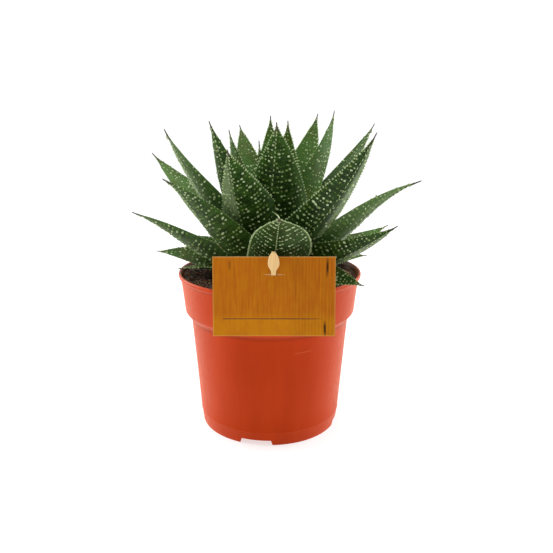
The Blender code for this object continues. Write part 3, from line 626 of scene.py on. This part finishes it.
# in mm: the pitch of the rows and of the tubercles in them, a row's sweep towards the tip, a
# tubercle's stray from it, the share of bars, a tubercle's shrink and least whiteness, a
# tooth's breadth, pitch and rise, and the length, breadth, pitch (low and high on the leaf)
# and whiteness (at the foot, and its gain towards the tip) of the tubercles on the keel
COMMON = {"row": 4.0, "dot": 2.25, "sweep": 0.12, "stray": 0.6, "bars": 0.10, "shrink": 1.0,
          "white": 0.45, "tooth": (0.56, 2.4, 1.0), "keel_long": (0.85, 1.3),
          "keel_broad": (0.5, 0.68), "keel_pitch": (3.5, 2.7), "keel_white": (1.0, 0.0)}
# the front leaf is finely and evenly marked, in chevrons from its keel
FRONT = {"row": 5.6, "dot": 1.4, "sweep": 0.34, "stray": 0.25, "bars": 0.6, "shrink": 0.66,
         "white": 0.75, "tooth": (0.24, 2.4 * 0.72, 1.2), "keel_long": (0.5, 0.7),
         "keel_broad": (0.34, 0.42), "keel_pitch": (1.9, 1.9), "keel_white": (0.45, 1.0)}
# leaves that are made lighter or darker all over than the rest, from 1 to -1: partly their own
# tone, partly painted light and shade
LEAF_TONE_AND_SHADE = {1: -0.4, 3: -0.2, 7: -0.1, 9: -0.12, 12: -0.6, 13: -0.1, 14: 0.4, 15: -0.5, 16: 0.5,
         19: 0.0, 20: 0.55, 21: -0.45, 22: 0.1, 25: -0.3, 30: -0.4, 32: -0.7}
# leaves whose teeth have been rubbed low
WORN = (7, 9, 12, 14, 16, 19, 20, 22, 25, 26, 30, 31, 32)
# how much painted flank light each leaf gets, and how far from the keel it begins
FLANK_LIGHT_AMOUNTS = {13: (0.9, 0.0), 14: (0.35, 0.0), 15: (0.9, 0.42), 16: (0.8, 0.0), 20: (0.8, 0.0),
          22: (0.4, 0.0), 25: (0.5, 0.0), 30: (0.3, 0.0)}
# where each kind of mark begins and ends along a leaf, from its foot at 0 to its tip at 1
ROWS_FROM = {1: 0.20, -1: 0.17}
ROWS_TO = 0.975
TEETH_SPAN = (0.08, 0.965)
KEEL_SPAN = (0.3, 0.955)
DOTS_SPAN = (0.13, 0.97)
STEP = 0.004


def flank_light_share(number, leaf, grid, stations, ring_u, top):
    """How much painted light lies on each point: a pale reflection kept to the flank that looks
    out and down.
    """
    facing = np.cross(np.gradient(grid, axis=0),
                      np.roll(grid, -1, axis=1) - np.roll(grid, 1, axis=1))
    facing /= np.linalg.norm(facing, axis=2)[:, :, None] + 1e-9
    outward = grid - grid.mean(axis=1)[:, None, :]
    facing *= np.sign((facing * outward).sum(axis=2))[:, :, None]
    to_side = 0.8 if math.cos(math.radians(leaf.azimuth)) > 0 else -0.8
    flank = facing[:, :, 0] * to_side - facing[:, :, 2] * 0.6
    amount, start_u = FLANK_LIGHT_AMOUNTS.get(number, (0.12, 0.0))
    beyond = np.clip((np.abs(ring_u - leaf.keel) - start_u) / 0.12 + 0.5, 0, 1)
    flank = np.clip((flank - 0.45) / 0.14, 0, 1) * ((1 - top) * beyond)[None, :] * amount
    return flank * np.clip((stations - 0.22) / 0.3, 0.15, 1)[:, None]


def build_leaf(number, leaf):
    """One leaf: its blade, its teeth along both edges and keel, and its tubercles."""
    dice = random.Random(500 + number)
    phase = dice.uniform(0, 6.28)
    length = math.hypot(leaf.reach - leaf.base_r, leaf.height - leaf.base_z)
    front = number == FRONT_LEAF
    style = FRONT if front else COMMON
    # where the rows of tubercles cross each face, closer together towards the tip
    rows = {1: [], -1: []}
    for face in rows:
        t = ROWS_FROM[face]
        while t < ROWS_TO:
            rows[face].append(t)
            t += style["row"] * dice.uniform(0.85, 1.15) / length * (1.0 - 0.35 * t)
    stations = np.concatenate((np.linspace(0, 0.9, 74), np.linspace(0.91, 0.998, 16)))
    upper_u = np.sin(np.linspace(-1, 1, 21) * math.pi / 2)
    left = leaf.keel + (-1 - leaf.keel) * np.sin(np.linspace(0, 1, 13) * math.pi / 2)
    right = leaf.keel + (1 - leaf.keel) * np.sin(np.linspace(0, 1, 12) * math.pi / 2)
    lower_u = np.concatenate((right[::-1], left[1:]))[1:-1]
    ring_u = np.concatenate((upper_u, lower_u))
    count = len(ring_u)
    top = np.concatenate((np.ones(len(upper_u)), np.zeros(len(lower_u))))
    grid = np.zeros((len(stations), count, 3))
    glow = np.zeros((len(stations), count))
    for j, u in enumerate(ring_u):
        face = 1 if top[j] else -1
        grid[:, j] = leaf_skin(leaf, stations, u, face, phase)
        # how near each point is to a row, which is a lighter band of skin
        sweep = style["sweep"] * abs(u - leaf.keel) * leaf.width / 2
        sweep = sweep * half_width(stations, leaf.blunt) / length
        near = [np.abs(stations - row_t - sweep) * length for row_t in rows[face]]
        glow[:, j] = np.exp(-(np.min(near, axis=0) / (0.25 * style["row"])) ** 2)
    verts = [tuple(p) for p in grid.reshape(-1, 3)]
    faces = []
    for i in range(len(stations) - 1):
        faces += join_rings(i * count, (i + 1) * count, count)
    marks = {"along": np.repeat(stations, count), "across": np.tile(ring_u, len(stations)),
             "above": np.tile(top, len(stations)), "wart": np.zeros(len(verts)),
             "band": glow, "painted_flank_light": flank_light_share(number, leaf, grid, stations, ring_u, top)}
    marks = {key: values.reshape(-1).tolist() for key, values in marks.items()}

    def mark(times, t, u, above, wart, band=1.0):
        """Note for the newest points where they lie on the leaf and how white they are."""
        new = {"along": t, "across": u, "above": above, "wart": wart, "band": band, "painted_flank_light": 0.0}
        for key, value in new.items():
            marks[key].extend([value] * times)

    for end, t in ((0, 0.0), (len(stations) - 1, 0.9985)):
        verts.append(tuple(leaf_skin(leaf, [t], 0.0, 1, phase)[0] * 0.6
                           + leaf_skin(leaf, [t], 0.0, -1, phase)[0] * 0.4))
        mark(1, t, 0.0, 0.5, 0.0, 0.0)
        hub = len(verts) - 1
        faces += [(end * count + k, end * count + (k + 1) % count, hub) for k in range(count)]

    def knob(centre, out, lean, radius, rise, sides, t, u, above, white):
        """A blunt cone sunk a little in the skin; lean moves its top along the leaf."""
        out = out / np.linalg.norm(out)
        first = lean - (lean @ out) * out
        size = np.linalg.norm(first)
        if size < 1e-6:
            first = np.cross(out, (0.3, 0.5, 0.8))
            size = np.linalg.norm(first)
        first = first / size
        second = np.cross(out, first)
        start = len(verts)
        for share, level in ((1.0, -0.25 * radius[0]), (0.68, rise * 0.62)):
            for k in range(sides):
                a = 2 * math.pi * k / sides
                p = centre + first * (math.cos(a) * radius[0] * share)
                p = p + second * (math.sin(a) * radius[1] * share)
                verts.append(tuple(p + out * level + lean * max(0.0, level / rise)))
        verts.append(tuple(centre + out * rise + lean))
        for k in range(sides):
            m = (k + 1) % sides
            faces.append((start + k, start + m, start + sides + m, start + sides + k))
            faces.append((start + sides + k, start + sides + m, start + 2 * sides))
        mark(sides, t, u, above, white * 0.6)
        mark(sides + 1, t, u, above, white)

    # teeth along the edges, hooked towards the tip; those of the outer leaves are worn low
    girth, pitch, tooth_rise = style["tooth"]
    for sign in (-1, 1):
        t = TEETH_SPAN[0]
        while t < TEETH_SPAN[1]:
            size = dice.uniform(0.95, 1.35) * (1.0 - 0.45 * max(0.0, t - 0.5))
            size *= min(1.0, (t - 0.02) / 0.12) * (0.62 if number in WORN else 1.0)
            _, _, sideways, normal = leaf_axes(leaf, [t])
            rim = leaf_skin(leaf, [t - STEP, t, t + STEP], sign, 1, phase)
            run = np.linalg.norm(rim[2] - rim[0])
            tangent = (rim[2] - rim[0]) / run
            outward = sideways[0] * sign - tangent * (sideways[0] @ tangent) * sign
            outward /= np.linalg.norm(outward)
            lift = normal[0] * dice.uniform(-0.25, 0.35)
            knob(rim[1] - outward * 0.25, outward + lift, tangent * 0.4 * size,
                 (girth * size, 0.36 * size), tooth_rise * size, 6, t, sign, 0.5, 0.9)
            t += pitch * dice.uniform(0.8, 1.2) / (run / (2 * STEP)) * (1.0 - 0.25 * t)

    def skin_frame(t, u, face):
        """A point of the skin, with the directions out of it, along the leaf and across."""
        at = leaf_skin(leaf, [t, t + STEP, t], [u, u, u + 0.01], face, phase)
        out = np.cross(at[1] - at[0], at[2] - at[0])
        _, forward, sideways, normal = leaf_axes(leaf, [t])
        if (out @ normal[0]) * face < 0:
            out = -out
        return at[0], out, forward[0], sideways[0]

    # long tubercles down the keel, which run together into a white line near the tip
    t = KEEL_SPAN[0]
    while t < KEEL_SPAN[1]:
        at, out, forward, sideways = skin_frame(t, leaf.keel, -1)
        reach = dice.uniform(*style["keel_long"])
        girth = dice.uniform(*style["keel_broad"])
        foot_white, gain = style["keel_white"]
        white = min(1.0, dice.uniform(0.8, 1.0) * (foot_white + gain * t))
        knob(at, out + sideways * 0.3, forward * 0.06, (reach, girth), 0.5, 7, t, leaf.keel,
             0.0, white)
        t += style["keel_pitch"][t >= 0.7] * dice.uniform(0.85, 1.2) / length

    # rows of tubercles in broken bands, their ends swept towards the tip; some run together
    # into short bars
    for face in (1, -1):
        for t_row in rows[face]:
            half = leaf.width / 2 * float(half_width(t_row, leaf.blunt))
            x = -half * 0.95 + dice.uniform(0.0, 1.6)
            run = dice.randint(2, 7)
            while x < half * 0.93:
                u = x / half
                stray = dice.uniform(-style["stray"], style["stray"])
                t = t_row + (style["sweep"] * abs(u - leaf.keel) * half + stray) / length
                bar = dice.random() < style["bars"]
                x += style["dot"] * dice.uniform(0.7, 1.3) * (1.4 if bar else 1.0)
                run -= 1
                if run < 0:
                    # a gap in the row, but on the front leaf only one tubercle is missed
                    run = dice.randint(2, 6)
                    x += 0.0 if front else style["dot"] * dice.uniform(0.3, 1.5)
                    continue
                # the foot of a leaf is bare, and the front leaf misses a few all over
                bare = 0.15 if front else 1.8 * max(0.0, 0.38 - t)
                if t < DOTS_SPAN[0] or t > DOTS_SPAN[1] or dice.random() < bare:
                    continue
                if face < 0 and abs(u - leaf.keel) * half < 0.9:
                    continue
                at, out, forward, sideways = skin_frame(t, u, face)
                r = dice.uniform(0.42, 0.98) * (0.7 + 0.3 * min(1.0, half / 9.0))
                r = r * style["shrink"]
                white = dice.uniform(style["white"], 1.0)
                wide = r * (dice.uniform(1.6, 2.3) if bar else dice.uniform(0.9, 1.35))
                knob(at, out, sideways * 0.04 + forward * dice.uniform(-0.03, 0.03), (wide, r),
                     0.26 + 0.26 * r, 7, t, u, (face + 1) / 2, white)
    if front:
        # the one dry awn that stands out against the leaves behind, pale and curled
        tip = leaf_skin(leaf, [0.985], 0.0, 1, phase)[0]
        start = len(verts)
        for k in range(7):
            s = k / 6
            mid = tip + np.array((-3.2 * s * s, 0.6 * s, 3.9 * s - 0.5 * s * s))
            r = 0.46 * (1 - s) + 0.10
            for m in range(5):
                a = 2 * math.pi * m / 5
                verts.append(tuple(mid + np.array((math.cos(a) * r, math.sin(a) * r, 0.0))))
        for k in range(6):
            faces += join_rings(start + 5 * k, start + 5 * k + 5, 5)
        faces.append(tuple(range(start, start + 5)))
        faces.append(tuple(range(start + 30, start + 35)))
        mark(35, 0.8, 0.0, 0.5, 0.9)
    marks["tint"] = [LEAF_TONE_AND_SHADE.get(number, 0.0) + dice.uniform(-0.12, 0.08)] * len(verts)
    made = make_piece("gasteria_leaf_%02d" % number, verts, faces, [leaf_cuticle], 62.0,
                      {name: marks[name] for name in MARKS})
    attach(made, "root")
    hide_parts("leaf_%02d" % number)


for number, leaf in enumerate(LEAVES, 1):
    build_leaf(number, leaf)


# Card label: 0.7 mm board, printed with a wood grain on its face and cut with a slot for the
# stick. It hangs on the stick and leans back on the pot's lip. Beside the grain its face
# carries only a thin plain rule.

CARD_W = 70.5
CARD_H = 46.0
CARD_T = 0.7
CARD_LEAN = math.radians(8.9)
CARD_MID = (2.5, -60.75, 103.4)
SLOT_W = 3.4
SLOT_H = 6.0
SLOT_Z = 116.6
STICK_X = 2.2


def on_card(x, y, z):
    """A point of the flat card, with y out of its back, put in its leaning place."""
    c, s = math.cos(CARD_LEAN), math.sin(CARD_LEAN)
    return (CARD_MID[0] + x, CARD_MID[1] + y * c + z * s, CARD_MID[2] + z * c - y * s)


# Printed board: uncoated card with brown ink grain laid on an orange ground, slightly
# open at the surface, so it is matt with a faint tooth.
card_print, tree, shader = new_finish("printed_board")
place = add(tree, "ShaderNodeAttribute", attribute_name="card_x").outputs["Fac"]
level = add(tree, "ShaderNodeAttribute", attribute_name="card_z").outputs["Fac"]
spot = add(tree, "ShaderNodeCombineXYZ", {"X": place, "Y": level})
# grain lines about 1.2 mm apart, long and slightly wavy
grain_map = add(tree, "ShaderNodeMapping", {"Vector": spot, "Scale": (0.85, 0.045, 1)})
grain = add(tree, "ShaderNodeTexNoise", {"Vector": grain_map, "Scale": 1.0, "Detail": 7.0,
                                         "Roughness": 0.62, "Distortion": 0.25})
colour = add(tree, "ShaderNodeValToRGB", {"Fac": grain}, (
    (0.30, "#b5620a"), (0.45, "#c46f09"), (0.58, "#ca790c"), (0.72, "#d28412")))
# the print is yellower at the foot
low = add(tree, "ShaderNodeMapRange", {"Value": level, "From Min": -9.0, "From Max": -14.0,
                                       "To Max": 0.55})
# redder clouds in the print, about 7 mm across
blotch_map = add(tree, "ShaderNodeMapping", {"Vector": spot, "Scale": (0.16, 0.11, 1)})
blotch = add(tree, "ShaderNodeTexNoise", {"Vector": blotch_map, "Scale": 1.0, "Detail": 4.0,
                                          "Roughness": 0.6})
redder = add(tree, "ShaderNodeMapRange", {"Value": blotch, "From Min": 0.45, "From Max": 0.68,
                                          "To Max": 0.5})
# even darker lines, 1.9 mm apart, on the right third of the print
comb_map = add(tree, "ShaderNodeMapping", {"Vector": spot, "Scale": (1, 0.08, 1)})
comb = add(tree, "ShaderNodeTexWave", {"Vector": comb_map, "Scale": 0.165, "Distortion": 2.6,
                                       "Detail": 2.0}).outputs["Fac"]
right = add(tree, "ShaderNodeMapRange", {"Value": place, "From Min": 9.0, "From Max": 13.0,
                                         "To Max": 0.22})
combed = add(tree, "ShaderNodeMath", {0: comb, 1: right}, operation="MULTIPLY")
# dark streaks, 1 mm wide and up to 12 mm long
streak_map = add(tree, "ShaderNodeMapping", {"Vector": spot, "Location": (3.1, 1.7, 0),
                                             "Scale": (0.42, 0.055, 1)})
streak = add(tree, "ShaderNodeTexNoise", {"Vector": streak_map, "Scale": 1.0, "Detail": 3.0,
                                          "Roughness": 0.7})
streaked = add(tree, "ShaderNodeMapRange", {"Value": streak, "From Min": 0.66,
                                            "From Max": 0.78, "To Max": 0.6})
coats = [(low, "#da900a"), (redder, "#c2640c"), (combed, "#7a4205"), (streaked, "#5e3009")]
# cracks of the printed wood, two dark ones near the right edge and a faint one at the left,
# each about 0.9 mm wide: where it lies, its foot, its top and how dark it is
for at_x, low_z, high_z, dark in ((30.4, 10.0, 24.0, 0.95), (29.2, -24.0, -13.5, 0.95),
                                  (-25.5, 15.0, 21.0, 0.4)):
    sway = add(tree, "ShaderNodeMath", {0: streak, 1: 1.6, 2: -at_x - 0.8},
               operation="MULTIPLY_ADD")
    off = add(tree, "ShaderNodeMath", {0: place, 1: sway}, operation="ADD")
    off = add(tree, "ShaderNodeMath", {0: off}, operation="ABSOLUTE")
    width = add(tree, "ShaderNodeMapRange", {"Value": off, "From Min": 0.95, "From Max": 0.3,
                                             "To Max": dark})
    off_mid = add(tree, "ShaderNodeMath", {0: level, 1: (low_z + high_z) / 2},
                  operation="SUBTRACT")
    off_mid = add(tree, "ShaderNodeMath", {0: off_mid}, operation="ABSOLUTE")
    ends = add(tree, "ShaderNodeMapRange", {"Value": off_mid, "From Min": (high_z - low_z) / 2,
                                            "From Max": 1.5})
    crack = add(tree, "ShaderNodeMath", {0: width, 1: ends}, operation="MULTIPLY")
    coats.append((crack, "#2e1604"))
# the ink is a little worn along the cut edges, over the last 0.8 mm
rims = []
for from_mid, span in ((place, CARD_W), (level, CARD_H)):
    rim = add(tree, "ShaderNodeMath", {0: from_mid}, operation="ABSOLUTE")
    rims.append(add(tree, "ShaderNodeMapRange", {"Value": rim, "From Min": span / 2 - 0.9,
                                                 "From Max": span / 2 - 0.1}))
wear = add(tree, "ShaderNodeMath", {0: rims[0], 1: rims[1]}, operation="MAXIMUM")
wear = add(tree, "ShaderNodeMath", {0: wear, 1: 0.55}, operation="MULTIPLY")
coats.append((wear, "#dca555"))
for share, over in coats:
    colour = add(tree, "ShaderNodeMix", {"Factor": share, "A": colour, "B": over},
                 data_type="RGBA")
tooth_map = add(tree, "ShaderNodeMapping", {"Vector": spot, "Scale": (4.0, 4.0, 1)})
tooth = add(tree, "ShaderNodeTexNoise", {"Vector": tooth_map, "Scale": 1.0, "Detail": 3.0})
height = add(tree, "ShaderNodeMath", {0: tooth, 1: grain}, operation="ADD")
relief = add(tree, "ShaderNodeBump", {"Height": height, "Strength": 0.2, "Distance": 0.2 * MM})
wire(tree, shader, {"Base Color": colour, "Roughness": 0.58, "Normal": relief,
                    "Specular IOR Level": 0.12})

# Raw board: the unprinted back and the cut edges show pale cream pulp.
card_raw, tree, shader = new_finish("raw_board")
at = add(tree, "ShaderNodeTexCoord").outputs["Object"]
pulp = add(tree, "ShaderNodeTexNoise", {"Vector": at, "Scale": 900.0, "Detail": 5.0,
                                        "Roughness": 0.7})
cream = add(tree, "ShaderNodeValToRGB", {"Fac": pulp}, ((0.3, "#e0c08a"), (0.7, "#f2dcb0")))
relief = add(tree, "ShaderNodeBump", {"Height": pulp, "Strength": 0.3, "Distance": 0.2 * MM})
wire(tree, shader, {"Base Color": cream, "Roughness": 0.85, "Normal": relief})

# Printing ink: dark brown, laid on in one pass, so it is dense but not quite even.
card_ink, tree, shader = new_finish("brown_ink")
at = add(tree, "ShaderNodeTexCoord").outputs["Object"]
patchy = add(tree, "ShaderNodeTexNoise", {"Vector": at, "Scale": 1400.0, "Detail": 3.0})
brown = add(tree, "ShaderNodeValToRGB", {"Fac": patchy}, ((0.35, "#3f2008"), (0.7, "#6d3c10")))
wire(tree, shader, {"Base Color": brown, "Roughness": 0.55})

PRINTED, RAW, INKED = 0, 1, 2
verts = []
faces = []
slots = []
card_x = []
card_z = []


def card_point(x, y, z):
    """Add a point of the card and remember where it lies on the flat sheet."""
    verts.append(on_card(x, y, z))
    card_x.append(x)
    card_z.append(z)
    return len(verts) - 1


def sheet_lines(size, count, mid, gap):
    """Even lines across the sheet, but for the slot, which has one at each of its edges."""
    lines = sorted(list(np.linspace(-size / 2, size / 2, count)) + [mid - gap / 2, mid + gap / 2])
    return [v for v in lines if abs(v - mid) > gap / 2 - 0.001]


def sheet_bend(x, z):
    """The board is not dead flat: it curls a little and its corners lift."""
    return 0.22 * math.sin(x / 24.0 + 0.4) * math.sin(z / 19.0) * (abs(x) / 35.0)


slot_mid_x = STICK_X - CARD_MID[0]
slot_mid_z = (SLOT_Z - CARD_MID[2]) / math.cos(CARD_LEAN)
xs = sheet_lines(CARD_W, 37, slot_mid_x, SLOT_W)
zs = sheet_lines(CARD_H, 25, slot_mid_z, SLOT_H)
slot_foot = min(range(len(zs)), key=lambda j: abs(zs[j] - slot_mid_z + SLOT_H / 2))
# the slot's lower edge is pressed back by the stick, so it stands higher in front
PRESSED = 1.7
front = [[card_point(x, -CARD_T / 2 + sheet_bend(x, z), z + (PRESSED if j == slot_foot else 0.0))
          for j, z in enumerate(zs)] for x in xs]
back = [[card_point(x, CARD_T / 2 + sheet_bend(x, z), z) for z in zs] for x in xs]
cells = [(i, j) for i in range(len(xs) - 1) for j in range(len(zs) - 1)]
board = [(i, j) for i, j in cells
         if abs((xs[i] + xs[i + 1]) / 2 - slot_mid_x) >= SLOT_W / 2
         or abs((zs[j] + zs[j + 1]) / 2 - slot_mid_z) >= SLOT_H / 2]
for i, j in board:
    faces.append((front[i][j], front[i + 1][j], front[i + 1][j + 1], front[i][j + 1]))
    faces.append((back[i][j], back[i][j + 1], back[i + 1][j + 1], back[i + 1][j]))
    slots += [PRINTED, RAW]
# cut edges, wherever a cell of board has none beside it
solid = set(board)
for i, j in board:
    for di, dj, (ai, aj), (bi, bj) in (
            (-1, 0, (i, j), (i, j + 1)), (1, 0, (i + 1, j), (i + 1, j + 1)),
            (0, -1, (i, j), (i + 1, j)), (0, 1, (i, j + 1), (i + 1, j + 1))):
        if (i + di, j + dj) not in solid:
            faces.append((front[ai][aj], front[bi][bj], back[bi][bj], back[ai][aj]))
            slots.append(RAW)


def flat_shape(outline, finish):
    """A flat thin shape, laid a hair proud of the card's face."""
    faces.append(tuple([card_point(x, -CARD_T / 2 - 0.03 + sheet_bend(x, z), z)
                        for x, z in outline]))
    slots.append(finish)


# a thin rule low on the card, which tapers at its right end
flat_shape([(-29.4, -13.1), (20.0, -13.1), (28.0, -12.93), (28.0, -12.87), (20.0, -12.68),
            (-29.4, -12.68)], INKED)
# a fine cut runs out to both sides of the slot's foot, and pale pulp shows in it
for near, far in ((-2.2, -6.7), (2.0, 6.9)):
    flat_shape([(near, 12.5), (far, 12.7), (near, 12.85)], RAW)
card = make_piece("card_label", verts, faces, [card_print, card_raw, card_ink], 30.0,
                  {"card_x": card_x, "card_z": card_z})
card.data.polygons.foreach_set("material_index", slots)
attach(card, "root")
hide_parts("plant_label")


# Label stick: a flat splint of birch, stamped out with a paddle head and a pointed foot, then
# tumbled so its edges are soft. It goes through the card's slot and down into the peat.

STICK_T = 1.2
STICK_LEAN = math.radians(-12.4)
STICK = ((-64.0, 0.5), (-62.0, 1.0), (-58.0, 1.9), (-50.0, 2.05), (-30.0, 2.1), (-8.0, 2.1),
         (-5.5, 1.85), (-4.0, 1.6), (0.0, 1.5), (1.2, 1.5), (2.0, 1.75), (2.8, 2.2), (3.6, 2.7),
         (4.6, 3.1), (6.0, 3.35), (7.4, 3.3), (8.8, 3.1), (10.2, 2.7), (11.4, 2.2), (12.4, 1.65),
         (13.1, 1.15), (13.6, 0.7), (13.8, 0.3))

# Birch, planed and tumbled: pale, fine straight grain with thin darker flecks, no varnish.
birch, tree, shader = new_finish("planed_birch")
place = add(tree, "ShaderNodeAttribute", attribute_name="stick_x").outputs["Fac"]
level = add(tree, "ShaderNodeAttribute", attribute_name="stick_s").outputs["Fac"]
spot = add(tree, "ShaderNodeCombineXYZ", {"X": place, "Y": level})
# grain lines about 0.6 mm apart
fibre_map = add(tree, "ShaderNodeMapping", {"Vector": spot, "Scale": (1.7, 0.07, 1)})
fibre = add(tree, "ShaderNodeTexNoise", {"Vector": fibre_map, "Scale": 1.0, "Detail": 6.0,
                                         "Roughness": 0.6})
wood = add(tree, "ShaderNodeValToRGB", {"Fac": fibre}, ((0.3, "#f2ba6c"), (0.62, "#ffdc9c")))
relief = add(tree, "ShaderNodeBump", {"Height": fibre, "Strength": 0.3, "Distance": 0.2 * MM})
sheen = add(tree, "ShaderNodeMapRange", {"Value": fibre, "To Min": 0.5, "To Max": 0.7})
wire(tree, shader, {"Base Color": wood, "Roughness": sheen, "Normal": relief})

verts = []
stick_x = []
stick_s = []
# a rounded-edge section, carried along the outline
SECTION = [(-1.0, 0.0), (-0.93, 0.6), (-0.78, 0.92), (-0.4, 1.0), (0.0, 1.0), (0.4, 1.0),
           (0.78, 0.92), (0.93, 0.6), (1.0, 0.0), (0.93, -0.6), (0.78, -0.92), (0.4, -1.0),
           (0.0, -1.0), (-0.4, -1.0), (-0.78, -0.92), (-0.93, -0.6)]
cross_y = CARD_MID[1] + math.tan(CARD_LEAN) * (SLOT_Z - CARD_MID[2])
c, s = math.cos(STICK_LEAN), math.sin(STICK_LEAN)
for dist, half in STICK:
    for sx, sy in SECTION:
        # the splint thins where it narrows to a point
        y = sy * STICK_T / 2 * min(1.0, half / 0.9)
        verts.append((STICK_X + sx * half, cross_y + y * c + dist * s, SLOT_Z + dist * c - y * s))
        stick_x.append(sx * half)
        stick_s.append(dist)
count = len(SECTION)
faces = []
for i in range(len(STICK) - 1):
    faces += join_rings(i * count, (i + 1) * count, count)
faces.append(tuple(range(count)))
faces.append(tuple(range((len(STICK) - 1) * count, len(STICK) * count)))
stick = make_piece("birch_stick", verts, faces, [birch], 50.0,
                   {"stick_x": stick_x, "stick_s": stick_s})
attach(stick, "root")
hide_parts("label_stick")


# Studio: a pale lit table top and a white surround that is darker in front, so the flanks are
# bright and the heart of the plant is dark, with soft lights above and at both sides.

# Lit acrylic: milky, and lit evenly from below, so the table stays pale and shadows soft.
table_top, tree, shader = new_finish("lit_acrylic")
at = add(tree, "ShaderNodeTexCoord").outputs["Object"]
milk = add(tree, "ShaderNodeTexNoise", {"Vector": at, "Scale": 30.0, "Detail": 2.0})
pale = add(tree, "ShaderNodeMapRange", {"Value": milk, "To Min": 0.40, "To Max": 0.43})
wire(tree, shader, {"Base Color": pale, "Roughness": 0.9, "Emission Color": (1.0, 1.0, 1.0, 1.0),
                    "Emission Strength": 0.66})
FLOOR_HALF = 3000
floor = make_piece("studio_floor", [(x * FLOOR_HALF, y * FLOOR_HALF, -0.1) for x, y in
                                    ((-1, -1), (1, -1), (1, 1), (-1, 1))],
                   [(0, 1, 2, 3)], [table_top])

world = bpy.data.worlds.new("studio_surround")
bpy.context.scene.world = world
world.use_nodes = True
tree = world.node_tree
aim = add(tree, "ShaderNodeTexCoord").outputs["Generated"]
axes = add(tree, "ShaderNodeSeparateXYZ", {"Vector": aim}).outputs
behind = add(tree, "ShaderNodeMapRange", {"Value": axes["Y"], "From Min": -1.0})
glow = add(tree, "ShaderNodeValToRGB", {"Fac": behind},
           ((0.03, 0.10), (0.16, 0.16), (0.40, 0.70), (0.72, 0.96)))
wire(tree, tree.nodes["Background"], {"Color": glow, "Strength": 1.15})


def soft_light(name, place, target, size, watts):
    """A square soft light at a place in metres, turned to its target."""
    lamp = bpy.data.lights.new(name, "AREA")
    lamp.shape = "SQUARE"
    lamp.size = size
    lamp.energy = watts
    made = bpy.data.objects.new(name, lamp)
    made.location = place
    made.rotation_euler = (Vector(target) - Vector(place)).to_track_quat("-Z", "Y").to_euler()
    bpy.context.scene.collection.objects.link(made)


soft_light("top_light", (0.0, -0.15, 1.2), (0, 0, 0.12), 0.9, 5.5)
soft_light("left_light", (-0.85, 0.36, 0.42), (0, 0, 0.12), 0.8, 8.6)
soft_light("right_light", (0.85, 0.36, 0.42), (0, 0, 0.12), 0.8, 6.4)


# the camera stands 412 mm in front of the pot, 208 mm up, and looks 14.8 degrees down
lens = bpy.data.cameras.new("camera")
lens.sensor_width = 36.0
lens.lens = 41.53
lens.shift_x = 0.0123
lens.clip_start = 0.01
camera = bpy.data.objects.new("camera", lens)
camera.location = (0.0, -412 * MM, 208 * MM)
camera.rotation_euler = (math.pi / 2 - 0.258, 0.0, 0.0)
bpy.context.scene.collection.objects.link(camera)
bpy.context.scene.camera = camera
bpy.context.scene.view_settings.view_transform = "Standard"
